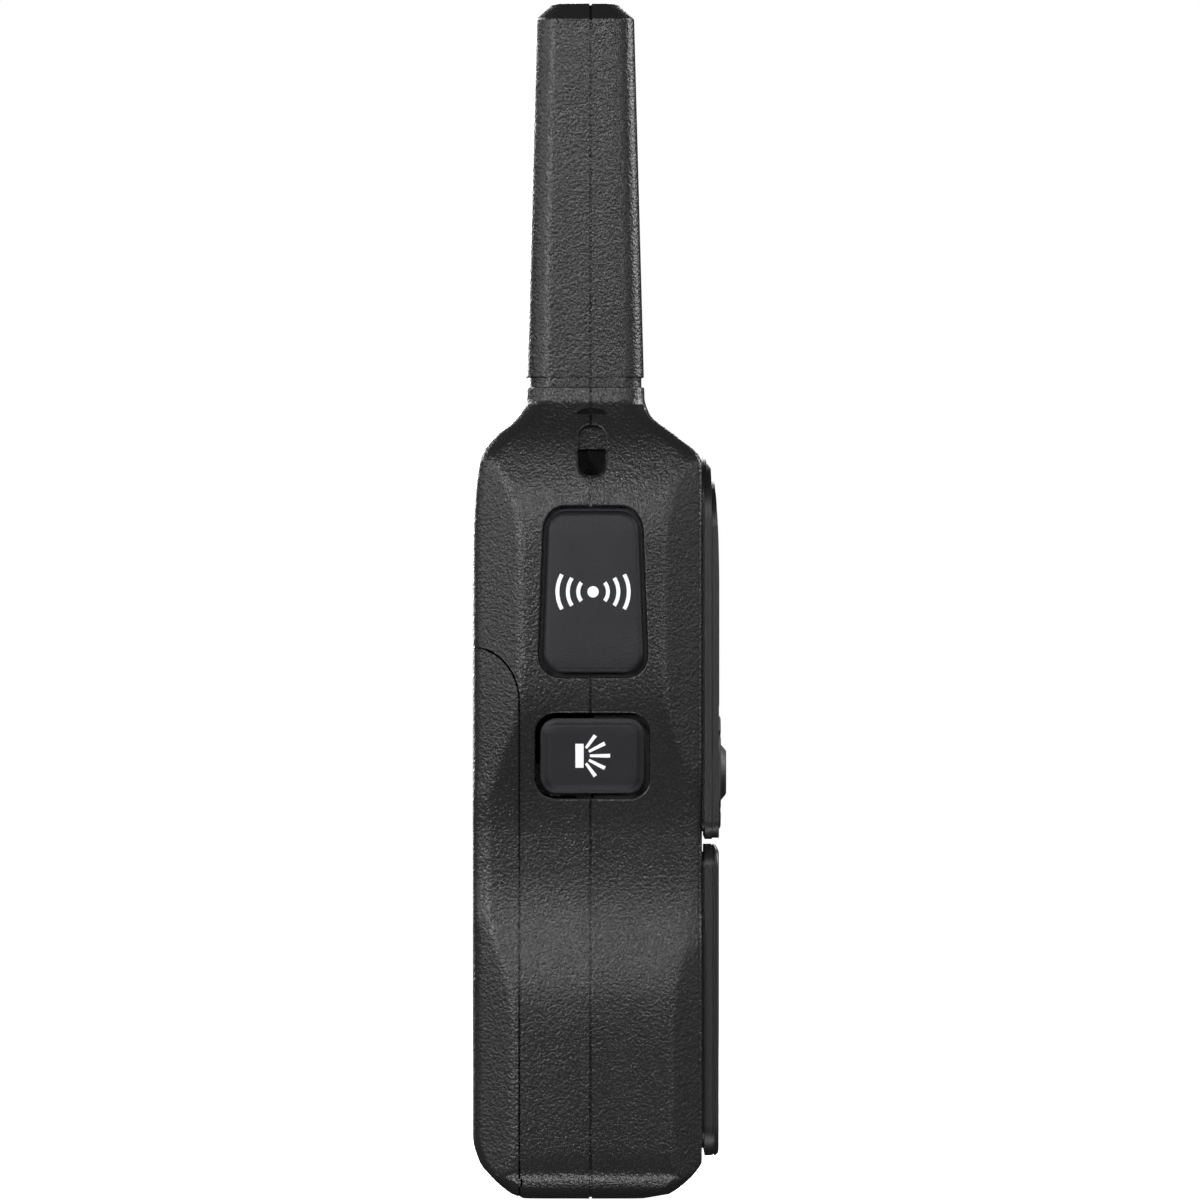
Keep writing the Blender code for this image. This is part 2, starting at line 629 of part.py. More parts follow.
def side_buttons():
    ptt = side_button("ptt_button", PTT_CENTRE, PTT_SIZE, PTT_PROUD, 2.5)
    wide, tall, radius = PTT_SIZE
    join(ptt, prism("ptt_flange", rounded(PTT_CENTRE, wide + 3.4, tall + 2, radius + 1), "x", *PTT_FLANGE_X))
    origin_at(ptt, (BUTTON_ORIGIN_X, *PTT_CENTRE))
    light = side_button("light_button", LIGHT_CENTRE, LIGHT_SIZE, LIGHT_PROUD, 1.9)
    origin_at(light, (BUTTON_ORIGIN_X, *LIGHT_CENTRE))
    box("side_key_seal", (-22.6, -9, 61), (-21.9, 1, 110), "rubber")
    box("side_switch_board", (SIDE_BOARD_X[0], -10.8, 60), (SIDE_BOARD_X[1], 0.8, 110), "board")
    for name, z in (("ptt_switch", PTT_CENTRE[1]), ("light_switch", LIGHT_CENTRE[1])):
        low = (-21, SWITCH_Y - SWITCH_HALF, z - SWITCH_HALF)
        obj = box(name, low, (-20.4, SWITCH_Y + SWITCH_HALF, z + SWITCH_HALF), "metal")
        stem = cylinder(name + "_stem", (-20.8, SWITCH_Y, z), (-21.6, SWITCH_Y, z), 1.6, segments=12)
        join(obj, stem)


# --- power ---

def cells():
    for i in range(3):
        x = (i - 1) * CELL_PITCH
        flip = i == 1
        low = 10.4 if flip else 13.9
        high = low + CELL_LENGTH
        body_low, body_high = (low + NUB_LENGTH, high) if flip else (low, high - NUB_LENGTH)
        ends = (x, CELL_Y, body_low), (x, CELL_Y, body_high)
        obj = cylinder(f"aa_cell_{i + 1}", *ends, CELL_RADIUS, "cell", 28)
        nub = (low, body_low + 0.3) if flip else (body_high - 0.3, high)
        ends = (x, CELL_Y, nub[0]), (x, CELL_Y, nub[1])
        join(obj, cylinder(f"cell_nub_{i}", *ends, NUB_RADIUS, segments=14))
        spring = (61.8, 65.8) if flip else (9.0, 13.0)
        start, end = SPRING_RADII[::-1] if flip else SPRING_RADII
        path = helix((x, CELL_Y), *spring, start, 4, 10, end)
        wire(f"cell_spring_{i + 1}", path, 0.4, "spring")
        plate = (9.2, 10) if flip else (64.8, 65.6)
        box(f"contact_plate_{i + 1}", (x - 6, CELL_Y - 5, plate[0]), (x + 6, CELL_Y + 4, plate[1]), "spring")


# --- electronics ---

def boards():
    main = box("main_board", (-18.5, -3.2, 12), (18.5, -2, 112), "board")
    front = box("front_board", (-18.3, -12.6, 57.5), (18.3, -11.6, 113), "board")
    for i, (x, z) in enumerate(SCREWS[:2]):
        hole = cylinder(f"board_hole_{i}", (x, -20, z), (x, 10, z), BOSS_CLEARANCE, segments=12)
        cut(main, hole)
        cut(front, hole)
    box("rf_shield", (-11, -1.7, 88), (13, 2.6, 111), "metal", bevel=0.4)
    box("lcd_module", (-15.2, -15.9, 84), (15.2, -12.9, 108), "gloss", bevel=0.3)
    mat = box("keypad_mat", (-19.6, -14.1, 58), (19.6, -13.1, 76.8), "rubber")
    for i, (x, z) in enumerate(SCREWS[:2]):
        cut(mat, cylinder(f"mat_hole_{i}", (x, -20, z), (x, 10, z), BOSS_CLEARANCE, segments=12))


def speaker():
    frame = [(16.8, -0.4), (16.8, 0.9), (15.6, 0.9), (15.4, 0.3), (8, -2.9), (8, -3.9)]
    turned("speaker_frame", frame, (0, SPEAKER_Y, SPEAKER_Z), "metal")
    cone = [(14.6, 0.7), (8, -1.9), (3, -1.5), (0, -0.9), (0, -1.5), (3, -2.1), (8, -2.5), (14.6, 0.2)]
    turned("speaker_cone", cone, (0, SPEAKER_Y, SPEAKER_Z), "rubber")
    cylinder("speaker_magnet", (0, -9, SPEAKER_Z), (0, -4.4, SPEAKER_Z), 8.5, "magnet", 24)
    x, z = MICROPHONE
    cylinder("microphone", (x, -14, z), (x, -11.6, z), 2.8, "metal", 16)


def ports():
    usb = box("usb_socket", (18.8, -6.5, 83.2), (26, -3.5, 92), "metal")
    cut(usb, box("usb_mouth", (22, -6, 83.8), (30, -4, 91.4)))
    z = JACK_HOLE[1]
    jack = cylinder("accessory_jack", (18.8, JACK_Y, z), (25.9, JACK_Y, z), 2.3, "metal", 16)
    cut(jack, cylinder("jack_mouth", (20.5, JACK_Y, z), (30, JACK_Y, z), 1.3, segments=12))
    wide, tall, radius = (size - less * PORT_CLEARANCE for size, less in zip(PORT_SIZE, (2, 2, 1)))
    outline = rounded(PORT_CENTRE, wide, tall, radius)
    cover = prism("port_cover", outline, "x", *PORT_COVER_X, "rubber", bevel=0.3)
    origin_at(cover, (PORT_COVER_X[1], PORT_CENTRE[0] + wide / 2, PORT_CENTRE[1]))


def antenna():
    cylinder("antenna_core", (MAST_X, MAST_Y, 132.4), (MAST_X, MAST_Y, 184.4), CORE_RADIUS, "nylon", 16)
    path = helix((MAST_X, MAST_Y), 133.2, 183.6, COIL_RADIUS, COIL_TURNS, 10)
    wire("antenna_coil", path, 0.3, "copper")
    cylinder("antenna_lead", (MAST_X, MAST_Y, 114.2), (MAST_X, MAST_Y, 132), 0.9, "copper", 10)


def lamp():
    cylinder("lamp_lens", (*LAMP, 124.3), (*LAMP, 126.0), 5, "lens", 24, end_radius=4.8)
    cup = cylinder("lamp_reflector", (*LAMP, 119.6), (*LAMP, 123.9), 2.6, "metal", 24, end_radius=4.8)
    cut(cup, cylinder("lamp_cup", (*LAMP, 119), (*LAMP, 124.2), 1.7, segments=24, end_radius=4.3))
    box("lamp_led", (LAMP[0] - 1.6, LAMP[1] - 1.6, 117.4), (LAMP[0] + 1.6, LAMP[1] + 1.6, 119.2), "lens")


def screws():
    for i, (x, z) in enumerate(SCREWS):
        head = 10.8 if z < LOW_SCREW_Z else 11.8
        obj = cylinder(f"housing_screw_{i + 1}", (x, -6, z), (x, head + 0.2, z), SCREW_RADIUS, "metal", 10)
        join(obj, cylinder(f"screw_head_{i}", (x, head, z), (x, 12.4, z), SCREW_HEAD_RADIUS, segments=14))
        cut(obj, box(f"screw_slot_{i}", (x - 3, 12.1, z - 0.3), (x + 3, 13, z + 0.3)))


front_housing()
rear_housing()
battery_door()
door_latch()
front_bezel()
display_lens()
speaker_grille()
nav_keys()
side_buttons()
cells()
boards()
speaker()
ports()
antenna()
lamp()
screws()
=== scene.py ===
# %% [markdown]
# # A two way radio, piece by piece
# A hand-held radio is two moulded shells with everything else hung inside them. This lesson
# puts finely shaped shells, panels, keys and finishes round that frame, and never moves it.

# %% load the frame
import math

import bmesh
import bpy
from mathutils import Matrix, Vector


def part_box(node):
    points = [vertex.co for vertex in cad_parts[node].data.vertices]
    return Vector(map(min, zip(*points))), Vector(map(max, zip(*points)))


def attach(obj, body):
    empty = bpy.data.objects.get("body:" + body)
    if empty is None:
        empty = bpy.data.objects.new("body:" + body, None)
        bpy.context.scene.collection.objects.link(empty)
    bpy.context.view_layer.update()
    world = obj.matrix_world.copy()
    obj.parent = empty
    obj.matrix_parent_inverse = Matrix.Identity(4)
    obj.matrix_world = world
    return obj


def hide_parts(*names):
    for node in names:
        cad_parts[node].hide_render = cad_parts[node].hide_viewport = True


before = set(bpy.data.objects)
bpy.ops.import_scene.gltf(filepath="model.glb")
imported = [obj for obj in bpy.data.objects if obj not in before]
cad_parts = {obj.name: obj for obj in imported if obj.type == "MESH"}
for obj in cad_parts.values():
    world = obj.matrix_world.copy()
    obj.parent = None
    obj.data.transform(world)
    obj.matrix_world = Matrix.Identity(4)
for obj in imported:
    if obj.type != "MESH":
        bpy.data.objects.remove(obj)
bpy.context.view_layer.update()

# %% [markdown]
# ## Units and the collection of helpers
# The frame is in metres, but mouldings are drawn in millimetres, so every shape below is made
# in millimetres and scaled once, when its mesh becomes an object. Booleans are the way a
# toolmaker thinks about pockets and holes. They stay tidy if each cutter is thrown away as soon
# as its cut has been made, so `settle` bakes the modifiers and removes the cutters.

# %% turning a bmesh into an object, and cutting it
MM = 0.001


def add_object(name, bm):
    bmesh.ops.remove_doubles(bm, verts=bm.verts[:], dist=0.0005)
    bmesh.ops.recalc_face_normals(bm, faces=bm.faces[:])
    bm.transform(Matrix.Scale(MM, 4))
    mesh = bpy.data.meshes.new(name)
    bm.to_mesh(mesh)
    bm.free()
    obj = bpy.data.objects.new(name, mesh)
    bpy.context.scene.collection.objects.link(obj)
    return obj


def baked_mesh(obj):
    bpy.context.view_layer.update()
    graph = bpy.context.evaluated_depsgraph_get()
    return bpy.data.meshes.new_from_object(obj.evaluated_get(graph))


def settle(obj):
    """Bakes an object's modifiers into its mesh."""
    mesh = baked_mesh(obj)
    old = obj.data
    obj.modifiers.clear()
    obj.data = mesh
    bpy.data.meshes.remove(old)
    return obj


def shaped(obj, operation, others, keep=()):
    for other in others:
        made = obj.modifiers.new("shape", "BOOLEAN")
        made.operation = operation
        made.object = other
        made.solver = "EXACT"
    settle(obj)
    for other in others:
        if other not in keep:
            bpy.data.objects.remove(other)
    return obj


def cut(obj, *cutters, keep=()):
    return shaped(obj, "DIFFERENCE", cutters, keep)


def join(obj, *others, keep=()):
    return shaped(obj, "UNION", others, keep)


def within(obj, other, keep=()):
    return shaped(obj, "INTERSECT", [other], keep)


def copy_of(obj, name):
    made = bpy.data.objects.new(name, obj.data.copy())
    bpy.context.scene.collection.objects.link(made)
    return made


def soften(obj, width, angle=40, segments=2):
    """Rounds the sharp edges of a finished piece."""
    bevel = obj.modifiers.new("edges", "BEVEL")
    bevel.width = width * MM
    bevel.segments = segments
    bevel.limit_method = "ANGLE"
    bevel.angle_limit = math.radians(angle)
    bevel.harden_normals = False
    return settle(obj)


def shade(obj, angle=35):
    """Smooth shading that keeps flat faces flat and sharp edges sharp."""
    obj.data.shade_smooth()
    obj.data.set_sharp_from_angle(angle=math.radians(angle))
    weighted = obj.modifiers.new("flat faces", "WEIGHTED_NORMAL")
    weighted.keep_sharp = True
    return settle(obj)


# %% [markdown]
# ## Outlines and lofts
# A moulded side wall is a stack of outlines. Rounding a polygon's corners with arcs gives each
# outline, and a loft joins them. The loft starts as a circle of vertices that is fitted to the
# first outline, and each next ring is extruded from the last one and fitted in turn, so the
# operator keeps the topology and the outlines only say where the rings lie.

# %% outlines
def fillet(corners, radii, steps):
    """Rounds the corners of a closed outline with arcs of so many steps."""
    points = []
    for i, corner in enumerate(corners):
        here = Vector(corner)
        before = Vector(corners[i - 1]) - here
        after = Vector(corners[(i + 1) % len(corners)]) - here
        half = before.angle(after) / 2
        reach = min(radii[i] / math.tan(half), 0.45 * before.length, 0.45 * after.length)
        radius = reach * math.tan(half)
        middle = here + (before.normalized() + after.normalized()).normalized() * (radius / math.sin(half))
        arm = here + before.normalized() * reach - middle
        turn = arm.angle_signed(here + after.normalized() * reach - middle)
        for k in range(steps + 1):
            swung = arm.copy()
            swung.rotate(Matrix.Rotation(-turn * k / steps, 2))
            points.append(tuple(middle + swung))
    return points


def rounded(centre, width, height, radius, steps=8):
    (a, b), w, h = centre, width / 2, height / 2
    corners = [(a + w, b + h), (a - w, b + h), (a - w, b - h), (a + w, b - h)]
    return fillet(corners, radius if isinstance(radius, tuple) else (radius,) * 4, steps)


def smooth(knots, z):
    """A curve through the knots that never overshoots them."""
    z = min(max(z, knots[0][0]), knots[-1][0])
    slopes = [(b[1] - a[1]) / (b[0] - a[0]) for a, b in zip(knots, knots[1:])]
    tangents = [slopes[0]]
    for before, after in zip(slopes, slopes[1:]):
        tangents.append(2 * before * after / (before + after) if before * after > 0 else 0)
    tangents.append(slopes[-1])
    i = max(k for k in range(len(slopes)) if knots[k][0] <= z)
    step = knots[i + 1][0] - knots[i][0]
    t = (z - knots[i][0]) / step
    return (knots[i][1] * (1 + 2 * t) * (1 - t) ** 2 + tangents[i] * step * t * (1 - t) ** 2
            + knots[i + 1][1] * t * t * (3 - 2 * t) + tangents[i + 1] * step * t * t * (t - 1))


# %% lofts
def loft(name, rings):
    """A closed solid through rings of 3-D points, grown ring by ring from a circle."""
    bm = bmesh.new()
    ring = bmesh.ops.create_circle(bm, segments=len(rings[0]), radius=1)["verts"]
    first = edges = bm.edges[:]
    for vert, point in zip(ring, rings[0]):
        vert.co = point
    for points in rings[1:]:
        place = {tuple(round(c, 5) for c in vert.co): k for k, vert in enumerate(ring)}
        grown = bmesh.ops.extrude_edge_only(bm, edges=edges)["geom"]
        edges = [item for item in grown if isinstance(item, bmesh.types.BMEdge)]
        fresh = [None] * len(ring)
        for item in grown:
            if isinstance(item, bmesh.types.BMVert):
                fresh[place[tuple(round(c, 5) for c in item.co)]] = item
        for vert, point in zip(fresh, points):
            vert.co = point
        ring = fresh
        edges = [edge for edge in edges if edge.verts[0] in set(ring) and edge.verts[1] in set(ring)]
    bmesh.ops.edgeloop_fill(bm, edges=first)
    bmesh.ops.edgeloop_fill(bm, edges=edges)
    return add_object(name, bm)


def bar_x(name, outline, start, end):
    """An outline of (y, z) points, extruded along X."""
    return loft(name, [[(x, y, z) for y, z in outline] for x in (start, end)])


def bar_y(name, outline, start, end):
    """An outline of (x, z) points, extruded along Y."""
    return loft(name, [[(x, y, z) for x, z in outline] for y in (start, end)])


def block(name, low, high):
    bm = bmesh.new()
    size = Vector(high) - Vector(low)
    middle = (Vector(high) + Vector(low)) / 2
    bmesh.ops.create_cube(bm, size=1, matrix=Matrix.Translation(middle) @ Matrix.Diagonal((*size, 1)))
    return add_object(name, bm)


def rod(name, start, end, radius, segments=48):
    start, end = Vector(start), Vector(end)
    bm = bmesh.new()
    turn = Vector((0, 0, 1)).rotation_difference(end - start).to_matrix().to_4x4()
    bmesh.ops.create_cone(bm, cap_ends=True, segments=segments, radius1=radius, radius2=radius,
                          depth=(end - start).length, matrix=Matrix.Translation((start + end) / 2) @ turn)
    return add_object(name, bm)


# %% [markdown]
# ## The body's form
# In side view the body is straight, with a sloping shoulder above and a rounded foot below. From
# the front it has a waist, where a hand holds it. The long edges are cut by four fixed chamfer
# planes, so where the waist goes in the side face grows wider, and that is what draws the
# flowing creases down the side. Each side wall also leans in a little on both sides of the
# parting line, the draft that lets a moulding leave its tool. One function gives the outline at
# any height.

# %% profiles of the body, from the base up
PARTING_Y = 1.5
SEAM = 0.4
BODY_TOP = 126.2
BACK = [(0, 12.2), (0.6, 13.8), (3.6, 17.3), (5.8, 19.1), (9.9, 20.2), (104, 20.2),
        (112.9, 19.8), (117.9, 18.9), (121, 16.7), (123.5, 13.7), (126.2, 11.7)]
FRONT = [(0, -7), (0.4, -10.1), (1.2, -11.8), (5.1, -15.8), (5.9, -16.2), (116.5, -16.2),
         (117.7, -15.9), (121.5, -11.7), (124.6, -7.9), (126.2, -7.2)]
HALF_WIDTH = [(0, 22.5), (1.2, 25), (4.6, 27.2), (8, 27.45), (27, 27.45), (32, 27.3), (36, 26.9), (39, 26.45),
              (42, 25.95), (45, 25.5), (48, 25.18), (52, 25), (58, 25.05), (62, 25.35), (67, 26), (72, 26.8),
              (77, 27.55), (81, 27.9), (86, 28), (104, 28), (108, 27.82), (112, 27.3), (116, 26.4),
              (120, 25.2), (126.2, 22.4)]
CAVITY_HALF_WIDTH = [(0, 22), (8, 25.65), (34, 25.65), (49, 23.2), (58, 23.2), (79, 26.2),
                     (110.6, 26.2), (113.6, 18.5), (126.2, 18)]
CHAMFER_BACK = (28.0, 12.6, 0.487)
CHAMFER_FRONT = (28.0, -10.1, 0.508)
LEAST_CHAMFER = 1.2
CORNER_RADII = (2.6, 5.5, 20, 4.5, 1.2)
DRAFT = 0.028
ARC_STEPS = 6
BODY_SPANS = [(0, 10, 14), (10, 26, 3), (26, 52, 22), (52, 58, 4), (58, 88, 20), (88, 104, 4),
              (104, 113.6, 8), (113.6, BODY_TOP, 16)]


def section(z, inset=0.0, widths=None):
    half = smooth(widths, z) if widths else smooth(HALF_WIDTH, z) - inset
    back = smooth(BACK, z) - inset
    front = smooth(FRONT, z) + inset
    right = []
    for edge, (plane, start, slope), side in ((back, CHAMFER_BACK, 1), (front, CHAMFER_FRONT, -1)):
        depth = side * (edge - start)
        level = min(plane - inset * math.hypot(1, slope), half + slope * depth - LEAST_CHAMFER)
        right.append(((level - slope * depth, edge), (half, start + side * (level - half) / slope)))
    (back_corner, back_crease), (front_corner, front_crease) = right
    corners = [back_corner, back_crease, (half, PARTING_Y), front_crease, front_corner]
    corners = [(x - DRAFT * abs(y - PARTING_Y) if x == half else x, y) for x, y in corners]
    corners += [(-x, y) for x, y in reversed(corners)]
    return fillet(corners, CORNER_RADII + CORNER_RADII[::-1], ARC_STEPS)


def body(name, inset=0.0, low=0.0, high=BODY_TOP, widths=None):
    heights = {low, high}
    for start, end, count in BODY_SPANS:
        heights |= {round(start + (end - start) * k / count, 4) for k in range(count + 1)}
    heights = sorted(z for z in heights if low <= z <= high)
    return loft(name, [[(x, y, z) for x, y in section(z, inset, widths)] for z in heights])


# %% [markdown]
# ## The mast
# The antenna is fixed: its plastic sheath is moulded as part of the two shells. It is a softly
# squared, tapering column with a thin groove ring over a collar, and the collar flares into the
# shoulder. Each row below is a height and the two half sizes there.

# %% the mast's form
MAST_X = -14.3
MAST_Y = 2.4
MAST = [(118, 9.6, 11.4), (122.4, 9.6, 11.4), (123.4, 9.25, 11.1), (124.2, 8.95, 10.6), (124.8, 8.7, 10.25),
        (125.4, 8.45, 9.98), (126.0, 8.2, 9.75), (126.5, 8.0, 9.6), (127.0, 7.88, 9.5), (128.75, 7.8, 9.44),
        (128.9, 7.7, 9.35), (128.95, 7.4, 9.0), (130.45, 7.38, 8.98), (130.5, 7.65, 9.28),
         (130.65, 7.75, 9.38),
        (187.3, 7.1, 7.85), (187.8, 6.95, 7.68), (189.7, 5.35, 5.55), (189.92, 5.1, 5.3), (190, 4.85, 5.05)]


def mast(name, inset=0.0):
    rings = []
    foot, top = MAST[0][0], MAST[-1][0]
    for z, half_x, half_y in MAST:
        level = foot + (z - foot) * (top - inset / 4 - foot) / (top - foot)
        outline = rounded((MAST_X, MAST_Y), 2 * (half_x - inset), 2 * (half_y - inset),
                          0.44 * (half_y - inset))
        rings.append([(x, y, level) for x, y in outline])
    return loft(name, rings)


# %% [markdown]
# ## Holes with a rounded mouth
# A moulded hole never has a knife edge: its rim is a small quarter round, which is what catches
# a thin line of light all round the buttons. So the cutter flares at its mouth. The side wall
# is not flat at the waist, and each ring of the cutter follows it.

# %% cutters that follow the side wall
RIM = 0.38


def side_x(z, y=PARTING_Y):
    """The talk-button side's outer surface at a height, and at a distance from the parting line."""
    return DRAFT * abs(y - PARTING_Y) - smooth(HALF_WIDTH, z)


def narrowed(outline, centre, height, taper):
    """Draws an outline in towards its top, by the share taper of its width at its foot."""
    foot = centre[1] - height / 2
    return [(centre[0] + (y - centre[0]) * (1 - taper * (z - foot) / height), z) for y, z in outline]


def side_cutter(name, centre, size, depth):
    width, height, radius, taper = size
    rings = []
    for k in range(6):
        angle = math.pi / 2 * k / 5
        rings.append((RIM * (1 - math.sin(angle)), RIM * (1 - math.cos(angle)) - 0.001))
    rings = [(RIM, -3.0)] + rings + [(0.0, depth)]
    placed = []
    for grow, deep in rings:
        outline = rounded(centre, width + 2 * grow, height + 2 * grow, radius + grow)
        placed.append([(side_x(z, y) + deep, y, z) for y, z in narrowed(outline, centre, height, taper)])
    return loft(name, placed)


PTT_CENTRE = (1.1, 96.4)
PTT_TAPER = 0.12
PTT_HOLE = (17.5, 27.0, 3.6, PTT_TAPER)
LIGHT_CENTRE = (1.2, 70.4)
LIGHT_HOLE = (18.1, 13.5, 3.2, 0)

# %% [markdown]
# ## The strap's bar
# A strap is threaded in at the lower half of an oval pocket, goes up behind a bar and comes out
# of a thin half moon at the antenna's root. The passage is a flattened ring: half an ellipse spun
# all the way round an axis, most of which lies outside the shell and cuts nothing.

# %% the strap's pocket and passage
STRAP_CENTRE = (1.3, 118.75)
STRAP_POCKET = (4.4, 8.1, 2.18, 0)
STRAP_RECESS = 1.6
STRAP_WELL_TOP = 118.8
STRAP_WELL_X = (-22.2, -19.4)
STRAP_RING = (-25.2, 1.3, 122.0)
STRAP_RING_RADIUS = 3.45
STRAP_RING_HALF = (1.0, 2.4)
STRAP_RING_FLAT = 0.15


def strap_well(name):
    """The deep lower half of the pocket, with a floor that leans down into the dark."""
    y, z = STRAP_CENTRE
    bottom = z - STRAP_POCKET[1] / 2 + 0.08
    tall = STRAP_WELL_TOP - bottom
    outline = rounded((y, bottom + tall / 2), STRAP_POCKET[0] - 0.16, tall, (0.3, 0.3, 2.05, 2.05))
    top_x, bottom_x = STRAP_WELL_X
    floor_ring = [(bottom_x + (top_x - bottom_x) * (b - bottom) / tall, a, b) for a, b in outline]
    return loft(name, [[(-30, a, b) for a, b in outline], floor_ring])


def strap_passage(name):
    """The flattened ring behind the bar that the strap's loop goes round."""
    bm = bmesh.new()
    x, y, z = STRAP_RING
    flat = Matrix.Translation((x + STRAP_RING_RADIUS, y, z)) @ Matrix.Diagonal((*STRAP_RING_HALF, 1, 1))
    circle = bmesh.ops.create_circle(bm, segments=48, radius=1, matrix=flat)["verts"]
    for vert in circle:
        vert.co.x = max(vert.co.x, x + STRAP_RING_RADIUS - STRAP_RING_FLAT)
    bmesh.ops.remove_doubles(bm, verts=circle, dist=0.001)
    bmesh.ops.spin(bm, geom=bm.edges[:], cent=STRAP_RING,
                   axis=(0, 1, 0), angle=math.tau, steps=64, use_merge=True)
    return add_object(name, bm)


def strap_joint(name):
    """The small step in the parting line where the two halves of the bar overlap."""
    z = 121.0
    return block(name, (side_x(z) + STRAP_RECESS - 1, 0.5, z - 0.15),
                 (side_x(z) + STRAP_RECESS + 0.5, 1.7, z + 0.15))


# %% [markdown]
# ## Front and rear shells
# Both shells come from one solid, the body with its mast, so the outside runs on across the
# parting line. It is hollowed, cut by the holes that cross the line, and then split. Each half
# gets its own pockets afterwards: windows and keys in front, the battery bay behind.

# %% the shared solid, hollowed and pierced
WALL = 1.8
BORE_RADIUS = 4.3
LAMP = (14.0, 2.2)
whole = join(body("whole"), mast("mast"))
cut(whole, body("cavity", WALL, WALL, BODY_TOP - WALL, CAVITY_HALF_WIDTH))
cut(whole,
    rod("bore", (MAST_X, MAST_Y, 131.6), (MAST_X, MAST_Y, 185.5), BORE_RADIUS),
    rod("feed", (MAST_X, MAST_Y, 120), (MAST_X, MAST_Y, 133), 1.6, 16),
    rod("lamp_hole", (*LAMP, 121), (*LAMP, 130), 5.3),
    side_cutter("ptt_hole", PTT_CENTRE, PTT_HOLE, 6),
    side_cutter("strap_pocket", STRAP_CENTRE, STRAP_POCKET, STRAP_RECESS),
    strap_well("strap_well"), strap_passage("strap_passage"), strap_joint("strap_joint"))
print("whole:", len(whole.data.polygons), "faces")

# %% [markdown]
# ## The parting line
# The shells meet edge to edge behind a shallow groove that hides the joint. The groove is a thin
# slab with the body's own inset form taken out of it, so it is equally deep all round. Its two
# lips are broken with a small bevel, which is what draws a fine light line along the seam.

# %% the groove, and splitting at the parting plane
GROOVE_DEPTH = 0.9
LIP = 0.09


def break_edges(obj, chosen, width):
    """Bevels only the chosen edges of a mesh."""
    bm = bmesh.new()
    bm.from_mesh(obj.data)
    edges = [edge for edge in bm.edges if chosen(edge)]
    bmesh.ops.bevel(bm, geom=edges, offset=width * MM, segments=2, profile=0.5, affect="EDGES", material=-1,
                    clamp_overlap=True)
    bm.to_mesh(obj.data)
    bm.free()
    print(obj.name, "edges broken:", len(edges))


def on_groove_lip(edge):
    level = {round(abs(vert.co.y / MM - PARTING_Y), 3) for vert in edge.verts}
    return (level == {round(SEAM / 2, 3)} and len(edge.link_faces) == 2
            and edge.calc_face_angle_signed() > math.radians(50))


def on_strap_mouth(edge):
    """The rim where the strap's passage comes out at the antenna's root."""
    inside_box = all(vert.co.x / MM < -22 and abs(vert.co.y / MM - STRAP_CENTRE[0]) < 2.6
                     and 124.2 < vert.co.z / MM < 126.2 for vert in edge.verts)
    return inside_box and len(edge.link_faces) == 2 and edge.calc_face_angle_signed() > math.radians(35)


def half_of(solid, name, side):
    """Keeps one side of the parting plane."""
    low, high = (PARTING_Y, 60) if side > 0 else (-60, PARTING_Y)
    return within(copy_of(solid, name), block("half", (-60, low, -20), (60, high, 220)))


groove = block("groove", (-60, PARTING_Y - SEAM / 2, -20), (60, PARTING_Y + SEAM / 2, 220))
END_DEPTH = 0.25
cut(groove, join(body("core", GROOVE_DEPTH, END_DEPTH, BODY_TOP - END_DEPTH),
                 mast("mast_core", GROOVE_DEPTH)))
break_edges(whole, on_strap_mouth, 0.2)
cut(whole, groove)
break_edges(whole, on_groove_lip, LIP)


rear_shell = half_of(whole, "rear_shell", 1)
front_shell = half_of(whole, "front_shell", -1)
bpy.data.objects.remove(whole)

# %% [markdown]
# ## The battery door's outline
# Seen from the side the door's line runs straight up and then turns out to the back over a
# quarter ellipse. The rear shell loses that region, grown by half a seam, and the door is the
# body's own skin kept inside the region, shrunk by half a seam.

# %% the door's region
DOOR_Y = 12.8
DOOR_TOP = 87.6
DOOR_CORNER = (7.5, 8.7)
DOOR_SEAM = 0.32
DOOR_WALL = 1.6
BAY_HALF = 22.2
DECK_Y = 10.8
SCREWS = [(-15, 79.5), (15, 79.5), (-20, 5.2), (20, 5.2)]


def door_outline(grow):
    wide, tall = DOOR_CORNER
    jog = DOOR_Y - grow - 0.35
    points = [(30, -5), (DOOR_Y - grow, -5), (DOOR_Y - grow, 1.9), (jog, 2.0), (jog, 3.2),
              (DOOR_Y - grow, 3.3)]
    for k in range(17):
        angle = math.pi / 2 * k / 16
        points.append((DOOR_Y + wide - (wide + grow) * math.cos(angle),
                       DOOR_TOP - tall + (tall + grow) * math.sin(angle)))
    return points + [(30, DOOR_TOP + grow)]


# The hollow took all the inside away, so the deck, the bay's walls, the roof over the door's
# tongues and a lip behind the door's side seams are put back.
deck = within(body("deck", WALL - 0.4, 1.0, 92), block("deck_box", (-40, DECK_Y, 66), (40, 12.65, 92)))
bay_block = within(body("bay_block", WALL - 0.4, 1.0, 69),
                   block("bay_box", (-40, PARTING_Y, 0.5), (40, 12.65, 69)))
roof = within(body("roof", WALL - 0.4, 80, 100), block("roof_box", (-40, DECK_Y, 88), (40, 30, 91.5)))
lip = cut(body("lip", DOOR_WALL + 0.3, 2, 86), body("lip_hollow", DOOR_WALL + 1.1, 1, 90))
lip = within(lip, block("lip_box", (-40, 12.5, 0), (40, 14.3, 86)))
sill = within(block("sill", (-19, 12.2, -1), (19, 13.2, 3.6)), body("sill_form", 0.05, 0.02, 10))
join(rear_shell, deck, bay_block, roof)
